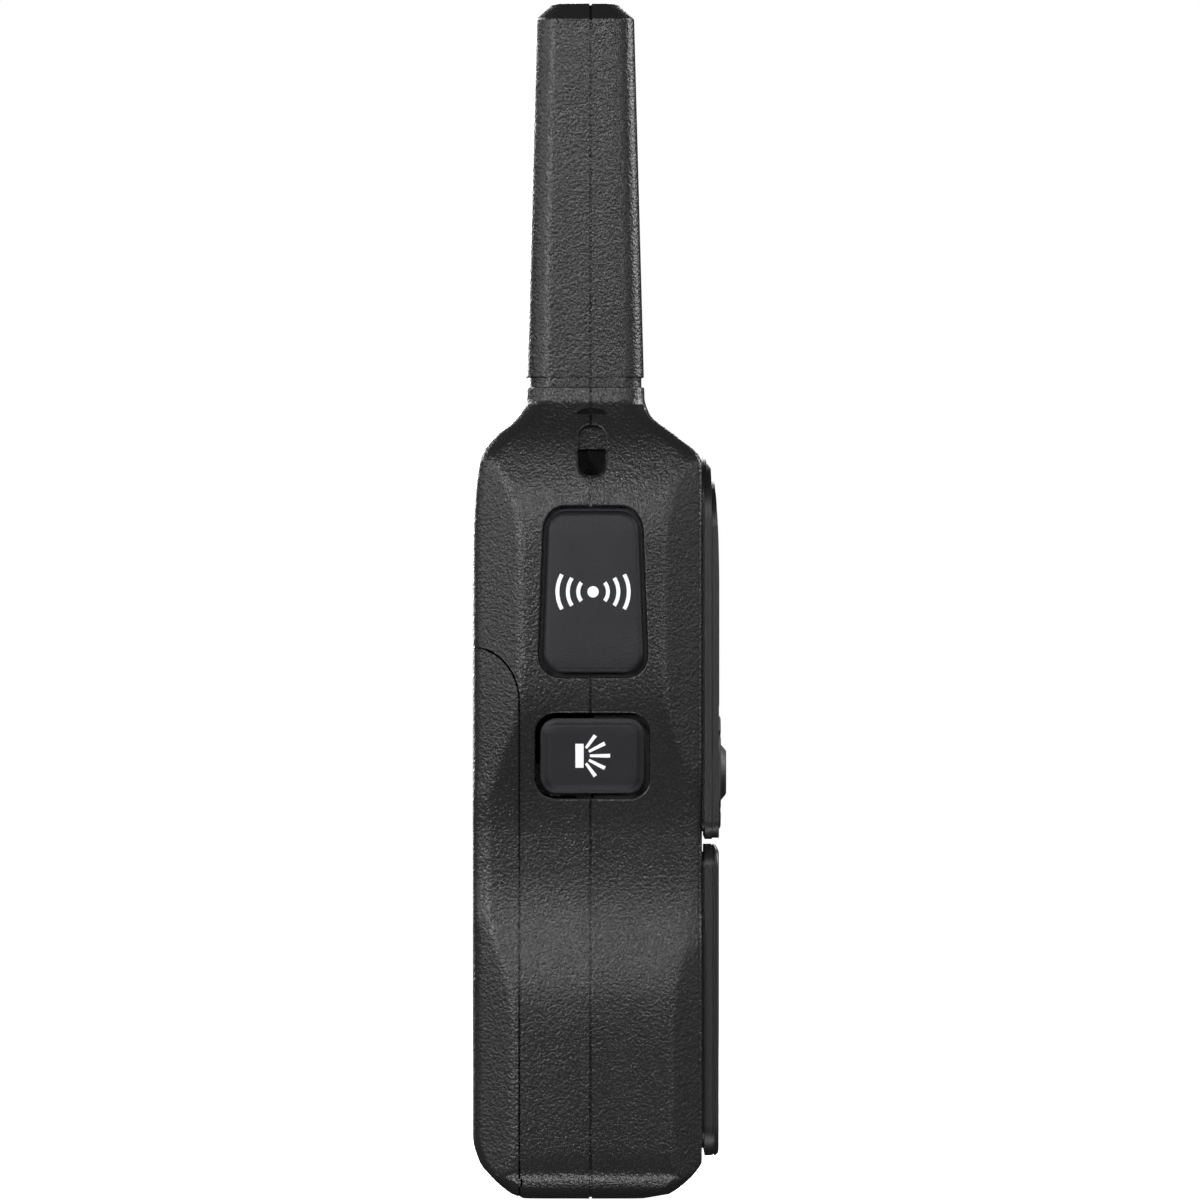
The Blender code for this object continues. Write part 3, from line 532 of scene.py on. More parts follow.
cut(rear_shell,
    side_cutter("light_hole", LIGHT_CENTRE, LIGHT_HOLE, 3.2),
    block("bay", (-BAY_HALF, 3.8, 8.2), (BAY_HALF, 30, 66.6)),
    bar_x("door_region", door_outline(DOOR_SEAM / 2), -40, 40))
join(rear_shell, lip, sill)
cut(rear_shell, block("rebate", (-21.6, 17.8, 87), (21.6, 20.0, 88.7)))
cut(rear_shell, *[block(f"tongue_pocket_{x}", (x - 3.6, 15.4, 86), (x + 3.6, 18.5, 90.6)) for x in (-12, 12)],
    *[rod(f"seat_{i}", (x, 10.5 if z < 50 else 11.5, z), (x, 14, z), 2.7) for i, (x, z) in enumerate(SCREWS)])
print("rear shell:", len(rear_shell.data.polygons), "faces")

# %% [markdown]
# ## The battery door and its latch
# The door is a thin tray. Two tongues at its top tuck under the rear shell, and a ribbed latch
# sits in a recess near its foot.

# %% door and latch
battery_door = body("door_skin")
cut(battery_door, body("door_hollow", DOOR_WALL, DOOR_WALL + 0.2, BODY_TOP - WALL))
within(battery_door, bar_x("door_form", door_outline(-DOOR_SEAM / 2), -40, 40))
join(battery_door, *[block(f"tongue_{x}", (x - 3, 16.9, 84), (x + 3, 18.2, 89.4)) for x in (-12, 12)],
     *[block(f"tongue_root_{x}", (x - 3, 17, 83), (x + 3, 19.2, 86)) for x in (-12, 12)])
join(battery_door, block("top_lip", (-21.3, 18.0, 86.6), (21.3, 19.9, 88.4)))
cut(battery_door, block("sill_room", (-19.3, 11, -1), (19.3, 13.35, 3.9)),
    bar_y("latch_recess", rounded((0, 15), 14, 12, 2), 19.2, 22))
battery_door.name = "door_shell"

latch = bar_y("latch_slider", rounded((0, 16.6), 12.6, 7.6, 1.8), 19.5, 20.15)
cut(latch, *[block(f"groove_{i}", (-4.5, 19.8, 14.05 + 1.25 * i), (4.5, 21, 14.7 + 1.25 * i))
             for i in range(4)])
soften(latch, 0.15)

# %% [markdown]
# ## Front panels
# Two separate panels are fixed on the front shell. The upper one frames the display, and its
# top leans back with the shoulder. Its face is flat across and curved only in height, so it is
# drawn as a side profile, pulled across the radio, and then trimmed to its rounded outline. The
# lower one is the speaker's cover, flat, with a fine step round its rim.

# %% the upper panel, the display's lens and its screen
PANEL_BACK = -16.6
PANEL_FACE = [(56, -18.9), (97, -18.9), (104.6, -18.78), (110.2, -18.5), (114.1, -18.2), (117.5, -17.8)]
FRAME_FACE = [(56, -17.8), (104, -17.8), (112, -17.75), (116.0, -17.62), (116.75, -17.4),
              (117.1, -16.9), (118.9, -16.5)]
BEZEL_Z = (57.1, 116.7)
LENS_Z = (78.2, 112.6)
LENS_HALF = 19.6
WINDOW_HALF = 15.8
WINDOW_Z = (83.4, 108.6)
NAV_Z = 67.5
NAV_RADIUS = 9.15
SIDE_KEY_X = 16.2
KEY_INNER = -14.9


def face_profile(face, low, high, back, proud):
    """The side profile of a front panel: its curved face, closed by a straight back."""
    count = 60
    heights = [low + (high - low) * k / count for k in range(count + 1)]
    return [(smooth(face, z) - proud, z) for z in heights] + [(back, high), (back, low)]


def front_panel(name, z_range, half, radii, back, proud=0.0, face=PANEL_FACE):
    panel = bar_x(name, face_profile(face, z_range[0] - 2, z_range[1] + 2, back, proud), -40, 40)
    middle = (0, sum(z_range) / 2)
    outline = rounded(middle, 2 * half, z_range[1] - z_range[0], radii)
    return within(panel, bar_y("outline", outline, -30, 0))


def key_holes():
    made = [rod("nav_hole", (0, -22, NAV_Z), (0, -13, NAV_Z), NAV_RADIUS + 0.35, 96)]
    for x in (-SIDE_KEY_X, SIDE_KEY_X):
        made.append(bar_y("side_key_hole", rounded((x, NAV_Z), 7.2, 13.2, 3), -22, -13))
    return made


BEZEL_HALF = 23.9
FOOT_INSET = 1.2
FOOT_Y = (-16.15, PANEL_BACK - 0.3)
PLATE_Z = (57.3, 114.0)
bezel = front_panel("upper_panel", (BEZEL_Z[0], BEZEL_Z[1] + 0.5), BEZEL_HALF, (9, 9, 3, 3),
                    PANEL_BACK, 0, FRAME_FACE)
soften(bezel, 0.2, 50)
plate = soften(front_panel("plate", PLATE_Z, BEZEL_HALF - 0.3, (7.5, 7.5, 2.8, 2.8), -17.5), 0.45, 50, 3)
foot_size = (2 * (BEZEL_HALF - FOOT_INSET), BEZEL_Z[1] + 1 - BEZEL_Z[0] - FOOT_INSET)
foot = bar_y("panel_foot",
             rounded((0, (sum(BEZEL_Z) + 1 + FOOT_INSET) / 2), *foot_size, (7.3, 7.3, 1.8, 1.8)),
             FOOT_Y[0] + 0.8, FOOT_Y[1])
join(bezel, plate, foot)
lens_middle = (0, sum(LENS_Z) / 2)
lens_height = LENS_Z[1] - LENS_Z[0]
cut(bezel, bar_y("lens_recess",
                 rounded(lens_middle, 2 * LENS_HALF + 0.5, lens_height + 0.5, (6.6, 6.6, 2, 2)),
                 -17.0, -24),
    bar_y("window", rounded((0, sum(WINDOW_Z) / 2), 2 * WINDOW_HALF - 1, WINDOW_Z[1] - WINDOW_Z[0] - 1, 1.2),
          -22, -13), *key_holes())
lens = front_panel("display_panel", LENS_Z, LENS_HALF, (6.3, 6.3, 1.8, 1.8), -17.3, 0.08)
soften(lens, 0.25, 50, 3)

# %% the speaker's cover
GRILLE_Z = (6.7, 55.8)
SPEAKER_Z = 31.0
GRILLE_STEPS = [(FOOT_Y[0], -FOOT_INSET), (PANEL_BACK, -FOOT_INSET), (PANEL_BACK - 0.002, 0),
                (-17.9, 0), (-17.95, -0.18), (-18.1, -0.18), (-18.15, 0), (-18.25, -0.02),
                (-18.5, -0.13), (-18.7, -0.3), (-18.83, -0.52), (-18.9, -0.85)]


def grille_outline(grow):
    middle = (0, sum(GRILLE_Z) / 2)
    wide, tall = 45.8 + 2 * grow, GRILLE_Z[1] - GRILLE_Z[0] + 2 * grow
    return rounded(middle, wide, tall, (3 + grow, 3 + grow, 5 + grow, 5 + grow))


grille = loft("speaker_cover", [[(x, y, z) for x, z in grille_outline(grow)] for y, grow in GRILLE_STEPS])
slots = []
for i in range(7):
    offset = (i - 3) * 4
    half = math.sqrt(15.5 ** 2 - offset ** 2)
    flare = [(-20, 0.95), (-18.9, 0.95), (-18.72, 0.87), (-18.55, 0.85), (-13, 0.85)]
    slots.append(loft("slot", [
        [(x, y, z) for x, z in rounded((0, SPEAKER_Z + offset), 2 * (half + r), 2 * r, r * 0.98)]
        for y, r in flare]))
cut(grille, *slots, rod("microphone_hole", (14.5, -22, 10.8), (14.5, -13, 10.8), 0.7, 24))

# %% front shell's openings
port_centre = (-4.1, 92.0)
cut(front_shell,
    side_cutter("light_hole", LIGHT_CENTRE, LIGHT_HOLE, 4),
    bar_y("window", rounded((0, sum(WINDOW_Z) / 2), 2 * WINDOW_HALF, WINDOW_Z[1] - WINDOW_Z[0], 1.5),
          -22, -13),
    rod("speaker_hole", (0, -22, SPEAKER_Z), (0, -13, SPEAKER_Z), 15),
    bar_x("port_recess", rounded(port_centre, 8.6, 24, 2), 26.3, 32),
    bar_x("usb_hole", rounded((-4.8, 87.6), 4.4, 10.4, 1.2), 20, 32),
    rod("jack_hole", (20, -4.8, 99.4), (32, -4.8, 99.4), 2.8),
    *key_holes())
print("front shell:", len(front_shell.data.polygons), "faces")

# %% [markdown]
# ## Front keys
# The four arrow keys are one ring cut in four. A key's section, spun about the ring's axis,
# gives a quarter, and the centre key is a turned button with a chamfered edge and a dished top.

# %% ring keys, centre key and the two side keys
def ring_key(name, middle):
    section_points = [(5.1, KEY_INNER), (9.15, KEY_INNER), (9.15, -18.95), (8.95, -19.2), (8.6, -19.32),
                      (7.2, -19.24), (5.7, -19.32), (5.3, -19.2), (5.1, -18.95)]
    spread = math.radians(82)
    bm = bmesh.new()
    verts = [bm.verts.new((radius, y, 0)) for radius, y in section_points]
    face = bm.faces.new(verts)
    bmesh.ops.rotate(bm, verts=verts, cent=(0, 0, 0), matrix=Matrix.Rotation(-middle + spread / 2, 3, "Y"))
    bmesh.ops.translate(bm, verts=verts, vec=(0, 0, NAV_Z))
    bmesh.ops.spin(bm, geom=[face, *face.edges, *face.verts], cent=(0, 0, NAV_Z), axis=(0, 1, 0),
                   angle=-spread, steps=24)
    return soften(add_object(name, bm), 0.2, 60)


def ring_points(radius, segments=64):
    angles = [math.tau * k / segments for k in range(segments)]
    return [(radius * math.cos(angle), radius * math.sin(angle)) for angle in angles]


def turned_y(name, profile, centre_z):
    """A turned shape about an axis along Y, from (radius, y) points."""
    return loft(name, [[(a, y, centre_z + b) for a, b in ring_points(radius)] for radius, y in profile])


def pad_key(name, x):
    rings = []
    for y, grow in ((KEY_INNER, 0), (-18.7, 0), (-18.9, -0.06), (-19.05, -0.22), (-19.1, -0.5),
                    (-19.0, -1.6), (-18.98, -2.6)):
        rings.append([(a, y, b) for a, b in rounded((x, NAV_Z), 6.6 + 2 * grow, 12.6 + 2 * grow, 2.9 + grow)])
    return loft(name, rings)


ring_keys = {name: ring_key(name.replace("key", "arrow_key"), math.radians(90 * k))
             for k, name in enumerate(("key_right", "key_up", "key_left", "key_down"))}
centre_key = turned_y("select_key", [(4.6, KEY_INNER), (4.6, -19.15), (4.55, -19.3), (3.6, -20.1),
                                     (3.4, -20.2),
                                     (2.9, -20.18), (1.5, -20.0), (0.4, -19.95)], NAV_Z)
pad_keys = {"key_power": pad_key("power_key", -SIDE_KEY_X), "key_call": pad_key("call_key", SIDE_KEY_X)}

# %% [markdown]
# ## Side buttons
# The talk and light buttons are moulded rubber over a hard core. Each is a loft of rings: up the
# side, over a soft edge, and across the face, all measured from the side wall's own surface so
# that the light button leans with the waist.

# %% talk button and light button
PTT_SIZE = (16.2, 25.7, 3.2, PTT_TAPER)
LIGHT_SIZE = (16.6, 12.0, 2.6, 0)
PTT_RINGS = [(1.7, 2.8), (1.7, 2.1), (0, 2.1), (0, 0.1), (-0.06, -0.3), (-0.25, -0.6),
             (-0.55, -0.8), (-0.95, -0.88),
             (-2.5, -0.93), (-4.5, -0.95)]
LIGHT_RINGS = [(0, 2.0), (0, 0.05), (-0.08, -0.12), (-0.25, -0.22), (-0.6, -0.28),
               (-0.9, -0.42), (-1.15, -0.62),
               (-1.45, -0.7), (-2.6, -0.74)]


def side_button(name, centre, size, rings):
    width, height, radius, taper = size
    placed = []
    for grow, deep in rings:
        outline = rounded(centre, width + 2 * grow, height + 2 * grow, max(radius + grow, 0.6))
        placed.append([(side_x(z) + deep, y, z) for y, z in narrowed(outline, centre, height, taper)])
    return loft(name, placed)


talk_button = side_button("talk_button", PTT_CENTRE, PTT_SIZE, PTT_RINGS)
torch_button = side_button("torch_button", LIGHT_CENTRE, LIGHT_SIZE, LIGHT_RINGS)

# %% [markdown]
# ## Printed signs
# The signs are pad-printed ink, a few hundredths of a millimetre thick. They are plain signs: a
# dot between radio waves on the talk button, and a lamp with rays on the light button. Arcs come
# from spinning a short edge, and bars from small grids.

# %% drawing signs as thin ink
INK = 0.05
TALK_PROUD, TORCH_PROUD = 0.935, 0.73
RING_FACE_Y, PAD_FACE_Y = -19.22, -18.975
ARROW_RADIUS = 7.15


def thicken(bm, way):
    """Gives a flat drawing its thickness."""
    grown = bmesh.ops.extrude_face_region(bm, geom=bm.faces[:])["geom"]
    bmesh.ops.translate(bm, verts=[v for v in grown if isinstance(v, bmesh.types.BMVert)], vec=way)


def arc_strip(bm, centre, radius, width, start, end, steps=24):
    inner = radius - width / 2
    outer = radius + width / 2
    verts = [bm.verts.new((0, centre[0] + r * math.cos(start), centre[1] + r * math.sin(start)))
             for r in (inner, outer)]
    edge = bm.edges.new(verts)
    bmesh.ops.spin(bm, geom=[edge, *verts], cent=(0, *centre), axis=(1, 0, 0), angle=end - start, steps=steps)


def bar_strip(bm, centre, length, width, angle, end_width=None):
    grid = bmesh.ops.create_grid(bm, x_segments=1, y_segments=6, size=0.5)["verts"]
    for vert in grid:
        share = vert.co.y + 0.5
        across = vert.co.x * (width + ((end_width or width) - width) * share)
        along = vert.co.y * length
        vert.co = (0, centre[0] + along * math.cos(angle) - across * math.sin(angle),
                   centre[1] + along * math.sin(angle) + across * math.cos(angle))


def sign(name, draw, surface):
    """Draws in the (y, z) plane, lays the drawing on a surface and gives it the ink's thickness."""
    bm = bmesh.new()
    draw(bm)
    for vert in bm.verts:
        vert.co.x = surface(vert.co.y, vert.co.z)
    thicken(bm, (-INK, 0, 0))
    return add_object(name, bm)


def draw_waves(bm):
    y, z = PTT_CENTRE
    arc_strip(bm, (y, z), 0.45, 0.9, 0, math.tau - 0.001, 32)
    for radius, half_angle in ((2.35, 38), (4.0, 33), (5.65, 29)):
        spread = math.radians(half_angle)
        for middle in (0, math.pi):
            arc_strip(bm, (y, z), radius, 0.62, middle - spread, middle + spread)


def draw_lamp(bm):
    y, z = LIGHT_CENTRE
    bar_strip(bm, (y + 2.05, z), 3.8, 1.3, math.pi / 2)
    for k in range(-2, 3):
        angle = math.pi + math.radians(27 * k)
        near, far = 1.5, 4.7 - 0.35 * abs(k)
        middle = (near + far) / 2
        bar_strip(bm, (y + 1.9 + middle * math.cos(angle), z + middle * math.sin(angle)),
                  far - near, 0.42, angle, 0.62)


waves_sign = sign("waves_sign", draw_waves, lambda y, z: side_x(z) - TALK_PROUD)
lamp_sign = sign("lamp_sign", draw_lamp, lambda y, z: side_x(z) - TORCH_PROUD)

# %% small signs on the front keys
def front_sign(name, draw, y):
    """A sign drawn in the (x, z) plane that faces the front."""
    bm = bmesh.new()
    draw(bm)
    for vert in bm.verts:
        vert.co = (-vert.co.y, y, vert.co.z)
    thicken(bm, (0, -INK, 0))
    return add_object(name, bm)


def draw_arrow(angle):
    def draw(bm):
        a, b = ARROW_RADIUS * math.cos(angle), NAV_Z + ARROW_RADIUS * math.sin(angle)
        bar_strip(bm, (-a, b), 1.3, 2.2, math.pi - angle, 0.05)
    return draw


def draw_power(bm):
    arc_strip(bm, (SIDE_KEY_X, NAV_Z), 1.35, 0.4, math.radians(125), math.radians(415))
    bar_strip(bm, (SIDE_KEY_X, NAV_Z + 1.2), 1.5, 0.4, math.pi / 2)


def draw_call(bm):
    for radius in (1.1, 2.0):
        arc_strip(bm, (-SIDE_KEY_X - 0.9, NAV_Z), radius, 0.4, math.radians(-45), math.radians(45))
    arc_strip(bm, (-SIDE_KEY_X - 0.9, NAV_Z), 0.2, 0.4, 0, math.tau - 0.001)


arrow_signs = {name: front_sign("sign_" + name, draw_arrow(math.radians(90 * k)), RING_FACE_Y)
               for k, name in enumerate(("key_right", "key_up", "key_left", "key_down"))}
power_sign = front_sign("sign_power", draw_power, PAD_FACE_Y)
call_sign = front_sign("sign_call", draw_call, PAD_FACE_Y)

# %% [markdown]
# ## Port cover and torch lens
# On the far side a soft rubber flap closes the sockets. It opens on its rear edge and has a
# shallow pull lip at its front edge. The torch's lens closes a round hole in the top.

# %% flap and lens
flap_rings = []
for x, grow in ((26.6, 0), (27.7, 0), (27.88, -0.06), (27.97, -0.22), (28.0, -0.45)):
    outline = rounded(port_centre, 8.0 + 2 * grow, 23.4 + 2 * grow, 1.7 + grow)
    flap_rings.append([(x, y, z) for y, z in outline])
flap = loft("port_flap", flap_rings)
cut(flap, loft("pull_lip", [[(x, y, z) for y, z in rounded((-7.3, 92.0), 1.0 + r, 7 + r, 0.45 + r / 2.1)]
                            for x, r in ((29, 1.2), (28, 0.9), (27.7, 0.5), (27.4, 0.1))]))


def turned_z(name, profile, centre):
    return loft(name, [[(centre[0] + a, centre[1] + b, z) for a, b in ring_points(radius)]
                       for radius, z in profile])


torch_lens = turned_z("torch_lens", [(0.3, 124.6), (4.6, 124.5), (5.0, 124.3), (5.0, 125.7),
                                     (4.85, 125.95), (4.5, 126.05),
                                     (3.0, 126.12), (0.3, 126.15)], LAMP)

# %% [markdown]
# ## Finishes
# Moulded black plastic isn't one colour. A spark-eroded tool leaves a fine leathery grain, which
# spreads highlights and greys the black. Two scales of cells in a bump give that grain, a slow
# noise shifts the shade and the gloss a little, and everything reads Object coordinates, so the
# grain runs on across pieces.

# %% node helpers
def new_material(name, colour, roughness, metallic=0.0, **sockets):
    made = bpy.data.materials.new(name)
    made.use_nodes = True
    shader = made.node_tree.nodes["Principled BSDF"]
    shader.inputs["Base Color"].default_value = (*colour, 1)
    shader.inputs["Roughness"].default_value = roughness
    shader.inputs["Metallic"].default_value = metallic
    for socket, value in sockets.items():
        shader.inputs[socket.replace("_", " ")].default_value = value
    return made, made.node_tree, shader


def texture(tree, kind, scale, source=None, **settings):
    """A texture node on Object coordinates."""
    node = tree.nodes.new(kind)
    node.inputs["Scale"].default_value = scale
    for socket, value in settings.items():
        node.inputs[socket].default_value = value
    if source is None:
        source = tree.nodes.new("ShaderNodeTexCoord").outputs["Object"]
    tree.links.new(source, node.inputs["Vector"])
    return node


def spread(tree, value, low, high, start=0.3, end=0.7):
    """Maps a texture's value into a narrow range."""
    node = tree.nodes.new("ShaderNodeMapRange")
    node.inputs["From Min"].default_value = start
    node.inputs["From Max"].default_value = end
    node.inputs["To Min"].default_value = low
    node.inputs["To Max"].default_value = high
    tree.links.new(value, node.inputs["Value"])
    return node.outputs["Result"]


def two_tone(tree, value, dark, light, shader):
    mix = tree.nodes.new("ShaderNodeMix")
    mix.data_type = "RGBA"
    mix.inputs["A"].default_value = (*dark, 1)
    mix.inputs["B"].default_value = (*light, 1)
    tree.links.new(value, mix.inputs["Factor"])
    tree.links.new(mix.outputs["Result"], shader.inputs["Base Color"])


def add_bump(tree, shader, height, distance, strength=1.0):
    bump = tree.nodes.new("ShaderNodeBump")
    bump.inputs["Distance"].default_value = distance
    bump.inputs["Strength"].default_value = strength
    tree.links.new(height, bump.inputs["Height"])
    tree.links.new(bump.outputs["Normal"], shader.inputs["Normal"])


def grained(name, colour, roughness, grain, depth, **sockets):
    """Moulded plastic or rubber with a fine eroded grain of so many metres."""
    made, tree, shader = new_material(name, colour, roughness, **{"Specular_IOR_Level": 0.32, **sockets})
    cells = texture(tree, "ShaderNodeTexVoronoi", 1 / grain)
    fine = texture(tree, "ShaderNodeTexNoise", 1.7 / grain, Detail=1.0, Roughness=0.6)
    slow = texture(tree, "ShaderNodeTexNoise", 60, Detail=3.0)
    add = tree.nodes.new("ShaderNodeMath")
    add.operation = "MULTIPLY_ADD"
    add.inputs[1].default_value = 0.6
    tree.links.new(cells.outputs["Distance"], add.inputs[0])
    tree.links.new(fine.outputs["Fac"], add.inputs[2])
    add_bump(tree, shader, add.outputs["Value"], depth)
    shade_value = spread(tree, slow.outputs["Fac"], 0.0, 1.0)
    two_tone(tree, shade_value, tuple(c * 0.9 for c in colour), tuple(c * 1.1 for c in colour), shader)
    tree.links.new(spread(tree, fine.outputs["Fac"], roughness - 0.05, roughness + 0.07),
                   shader.inputs["Roughness"])
    return made


# %% plastics and rubbers
housing_plastic = grained("housing_plastic", (0.015, 0.015, 0.0152), 0.27, 0.00058, 0.000075)
panel_plastic = grained("panel_plastic", (0.014, 0.014, 0.0148), 0.4, 0.0003, 0.00002)
button_rubber = grained("button_rubber", (0.0095, 0.0095, 0.0125), 0.5, 0.00035, 0.000045)
flap_rubber = grained("flap_rubber", (0.02, 0.02, 0.021), 0.65, 0.0004, 0.00002)
inner_rubber = grained("inner_rubber", (0.03, 0.03, 0.031), 0.6, 0.0005, 0.00002)
core_nylon = grained("core_nylon", (0.42, 0.41, 0.38), 0.5, 0.0006, 0.00002)
ink = grained("white_ink", (0.95, 0.95, 0.95), 0.5, 0.0003, 0.000006)
gloss_panel, tree, shader = new_material("gloss_panel", (0.006, 0.006, 0.008), 0.07,
                                         Coat_Weight=0.6, Coat_Roughness=0.03)
smudge = texture(tree, "ShaderNodeTexNoise", 90, Detail=4.0)
tree.links.new(spread(tree, smudge.outputs["Fac"], 0.05, 0.13), shader.inputs["Roughness"])

# %% [markdown]
# ## Finishes of the inner pieces
# The inner pieces show only when the door is open or the shells are apart, but each one still
# has the look of its own stuff: brushed steel, wound copper, green laminate with its copper
# layout, and printed cell jackets with a band at one end.

# %% metals, laminate and jackets
def brushed(name, colour, roughness, scale=(900, 900, 60)):
    made, tree, shader = new_material(name, colour, roughness, 1.0)
    coordinates = tree.nodes.new("ShaderNodeTexCoord")
    stretch = tree.nodes.new("ShaderNodeMapping")
    stretch.inputs["Scale"].default_value = scale
    tree.links.new(coordinates.outputs["Object"], stretch.inputs["Vector"])
    lines = texture(tree, "ShaderNodeTexNoise", 1.0, stretch.outputs["Vector"], Detail=3.0)
    tree.links.new(spread(tree, lines.outputs["Fac"], roughness - 0.08, roughness + 0.12),
                   shader.inputs["Roughness"])
    two_tone(tree, spread(tree, lines.outputs["Fac"], 0.0, 1.0),
             tuple(c * 0.85 for c in colour), colour, shader)
    add_bump(tree, shader, lines.outputs["Fac"], 0.000006)
    return made


def laminate(name):
    """Green board: copper runs under solder mask, drawn by blocky cells."""
    made, tree, shader = new_material(name, (0.01, 0.09, 0.035), 0.35, Coat_Weight=0.4)
    tracks = texture(tree, "ShaderNodeTexVoronoi", 260)
    tracks.distance = "CHEBYCHEV"
    tracks.feature = "F1"
    value = spread(tree, tracks.outputs["Distance"], 0.0, 1.0, 0.36, 0.42)
    two_tone(tree, value, (0.008, 0.075, 0.03), (0.03, 0.16, 0.06), shader)
    add_bump(tree, shader, value, 0.00003)
    return made


def jacket(name, low, high):
    """A cell's printed sleeve, dark with a copper-coloured band over its top quarter."""
    made, tree, shader = new_material(name, (0.03, 0.03, 0.035), 0.28, 0.3, Coat_Weight=0.5)
    coordinates = tree.nodes.new("ShaderNodeTexCoord")
    axes = tree.nodes.new("ShaderNodeSeparateXYZ")
    tree.links.new(coordinates.outputs["Object"], axes.inputs["Vector"])
    band = spread(tree, axes.outputs["Z"], 0.0, 1.0, low + 0.74 * (high - low), low + 0.745 * (high - low))
    two_tone(tree, band, (0.022, 0.023, 0.027), (0.5, 0.24, 0.09), shader)
    wear = texture(tree, "ShaderNodeTexNoise", 300, Detail=4.0)
    tree.links.new(spread(tree, wear.outputs["Fac"], 0.22, 0.36), shader.inputs["Roughness"])
    return made


steel = brushed("steel", (0.62, 0.62, 0.61), 0.32)
spring_steel = brushed("nickel_plate", (0.7, 0.67, 0.6), 0.26)
copper = brushed("copper", (0.8, 0.4, 0.22), 0.3)
magnet = brushed("magnet_ferrite", (0.1, 0.1, 0.11), 0.5)
board = laminate("board_laminate")
clear_lens, tree, shader = new_material("clear_lens", (0.9, 0.93, 0.95), 0.06,
                                        Transmission_Weight=0.85, IOR=1.49)
facets = texture(tree, "ShaderNodeTexVoronoi", 900)
add_bump(tree, shader, facets.outputs["Distance"], 0.00004, 0.5)
cell_jackets = [jacket(f"cell_jacket_{i}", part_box(f"aa_cell_{i}")[0].z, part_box(f"aa_cell_{i}")[1].z)
                for i in (1, 2, 3)]

# %% [markdown]
# ## Joining the pieces to the frame
# Every new piece rides on a body, stands for the frame's own solid, and gets its finish.
# Frame solids that stay in view only get their finish.

# %% shading, finishes, bodies
def place(piece, body_name, node, slot, finish, angle=35):
    piece.data.materials.clear()
    piece.data.materials.append(finish)
    shade(piece, angle)
    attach(piece, body_name)
    if node:
        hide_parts(node)


place(front_shell, "housing", "front_housing", "housing", housing_plastic)
place(rear_shell, "housing", "rear_housing", "housing", housing_plastic)
place(battery_door, "battery_door", "battery_door", "housing", housing_plastic)
place(latch, "door_latch", "door_latch", "panel", panel_plastic)
place(bezel, "housing", "front_bezel", "panel", panel_plastic)
place(lens, "housing", "display_lens", "display", gloss_panel)
place(grille, "housing", "speaker_grille", "panel", panel_plastic)
for name, key in {**ring_keys, **pad_keys, "key_centre": centre_key}.items():
    place(key, name, name, "button_rubber", button_rubber)
place(talk_button, "ptt_button", "ptt_button", "button_rubber", button_rubber)
place(torch_button, "light_button", "light_button", "button_rubber", button_rubber)
place(waves_sign, "ptt_button", None, "button_rubber", ink)
place(lamp_sign, "light_button", None, "button_rubber", ink)
for name, piece in {**arrow_signs, "key_power": power_sign, "key_call": call_sign}.items():
    place(piece, name, None, "button_rubber", ink)
place(flap, "port_cover", "port_cover", "button_rubber", flap_rubber)
place(torch_lens, "housing", "lamp_lens", "clear_plastic", clear_lens)

INNER = {
    gloss_panel: ["lcd_module"],
    inner_rubber: ["keypad_mat", "side_key_seal", "speaker_cone"],
    board: ["main_board", "front_board", "side_switch_board"],
    steel: ["rf_shield", "usb_socket", "accessory_jack", "ptt_switch", "light_switch",
            "speaker_frame", "microphone",
            "lamp_reflector", "housing_screw_1", "housing_screw_2", "housing_screw_3", "housing_screw_4"],
    spring_steel: ["cell_spring_1", "cell_spring_2", "cell_spring_3", "contact_plate_1", "contact_plate_2",
                   "contact_plate_3"],
    magnet: ["speaker_magnet"],
    copper: ["antenna_coil", "antenna_lead"],
    clear_lens: ["lamp_led"],
    core_nylon: ["antenna_core"],
}
for finish, names in INNER.items():
    for name in names:
        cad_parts[name].material_slots[0].material = finish
for i, finish in enumerate(cell_jackets, 1):
    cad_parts[f"aa_cell_{i}"].material_slots[0].material = finish

# %% [markdown]
# ## Floor, light and camera
# A pale floor and a soft white room. The camera looks square at the talk-button side through a
# very long lens, so the outline is nearly a drawing's side view.

# %% the floor
bm = bmesh.new()
bmesh.ops.create_circle(bm, cap_ends=True, segments=96, radius=4000)
floor = add_object("floor", bm)
floor.location.z = -0.0003
floor_finish, tree, shader = new_material("pale_floor", (0.9, 0.9, 0.9), 0.7)
floor_tone = texture(tree, "ShaderNodeTexNoise", 3.0)
two_tone(tree, floor_tone.outputs["Fac"], (0.89, 0.89, 0.89), (0.91, 0.91, 0.91), shader)
shader.inputs["Emission Color"].default_value = (1, 1, 1, 1)
shader.inputs["Emission Strength"].default_value = 1.05
floor.data.materials.append(floor_finish)
floor.visible_glossy = False
floor.visible_diffuse = False
floor.visible_shadow = False

# %% [markdown]
# ## The room and the lamps
# Black plastic shows only what it reflects, so the form comes from where the lamps are. The
# backdrop is white to the eye but lights the radio weakly. One small lamp stands a little above
# the talk-button side, so faces that lean up catch it and faces that lean down stay dark. Narrow
# lamps at both sides pick out the creases and chamfers, one below lights the foot, and a rim
# lamp draws the shoulder's edge. Large lamps serve the front, the far side and the back.

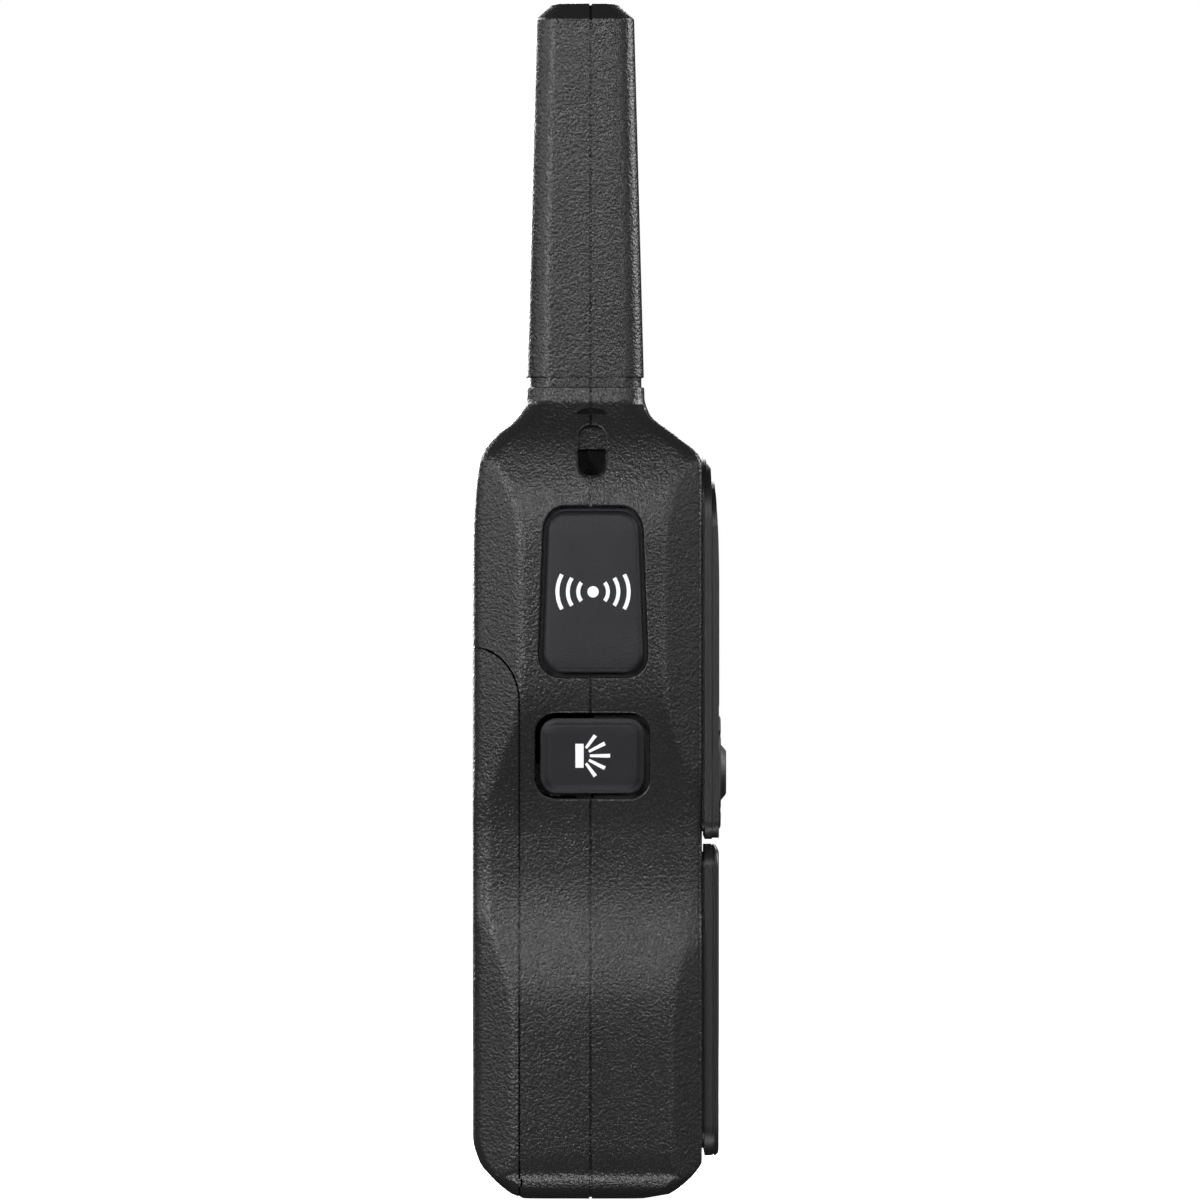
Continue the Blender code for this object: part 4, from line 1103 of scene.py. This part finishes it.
# %% the room's light
ROOM_LIGHT = 0.03
world = bpy.data.worlds.new("room")
bpy.context.scene.world = world
world.use_nodes = True
room = world.node_tree
backdrop = room.nodes["Background"]
backdrop.inputs["Color"].default_value = (1, 1, 1, 1)
backdrop.inputs["Strength"].default_value = 1.0
fill = room.nodes.new("ShaderNodeBackground")
fill.inputs["Color"].default_value = (0.97, 0.98, 1, 1)
fill.inputs["Strength"].default_value = ROOM_LIGHT
path = room.nodes.new("ShaderNodeLightPath")
choose = room.nodes.new("ShaderNodeMixShader")
room.links.new(path.outputs["Is Camera Ray"], choose.inputs["Fac"])
room.links.new(fill.outputs["Background"], choose.inputs[1])
room.links.new(backdrop.outputs["Background"], choose.inputs[2])
room.links.new(choose.outputs["Shader"], room.nodes["World Output"].inputs["Surface"])
bpy.context.scene.view_settings.view_transform = "Standard"


# %% the lamps
def softbox(name, azimuth, elevation, distance, size, power):
    """A square lamp round the radio's middle; azimuth 0 is in front of the talk-button side."""
    aim = Vector((0, 0, 0.1))
    turn, lift = math.radians(azimuth), math.radians(elevation)
    way = Vector((-math.cos(turn) * math.cos(lift), math.sin(turn) * math.cos(lift), math.sin(lift)))
    light = bpy.data.lights.new(name, "AREA")
    light.shape = "RECTANGLE"
    light.size, light.size_y = size
    light.energy = power
    obj = bpy.data.objects.new(name, light)
    bpy.context.scene.collection.objects.link(obj)
    obj.location = aim + way * distance
    obj.rotation_euler = (-way).to_track_quat("-Z", "Y").to_euler()
    obj.visible_camera = False
    return obj


softbox("front", 1, 17.5, 0.8, (0.15, 0.15), 1.6)
softbox("left_crease", 26, 8, 0.8, (0.1, 0.2), 2.3)
softbox("left_strip", 53, 10, 0.8, (0.17, 0.3), 1.1)
softbox("left_edge", 76, 16, 0.8, (0.17, 0.3), 0.9)
softbox("right_strip", -51, 14, 0.8, (0.17, 0.3), 0.6)
softbox("right_crease", -26, 8, 0.8, (0.1, 0.2), 1.1)
softbox("bounce", 0, -62, 0.6, (0.15, 0.15), 1.1)
softbox("rim", 112, 30, 0.8, (0.3, 0.3), 5)
softbox("front_face", -105, 22, 0.9, (0.5, 0.5), 8)
softbox("far_side", 180, 28, 0.9, (0.5, 0.5), 5)
softbox("far_back", 150, 12, 0.9, (0.4, 0.4), 6)

# %% the camera
LENS = 500.0
SENSOR = 36.0
VIEW_HEIGHT = 0.1908
FOCUS_X = -0.02
camera_data = bpy.data.cameras.new("camera")
camera_data.lens = LENS
camera_data.sensor_width = SENSOR
camera_data.clip_end = 50
camera = bpy.data.objects.new("camera", camera_data)
bpy.context.scene.collection.objects.link(camera)
camera.location = (FOCUS_X - VIEW_HEIGHT * LENS / SENSOR, 0.0, VIEW_HEIGHT / 2 - 0.0003)
camera.rotation_euler = (math.radians(90), 0, math.radians(-90))
bpy.context.scene.camera = camera
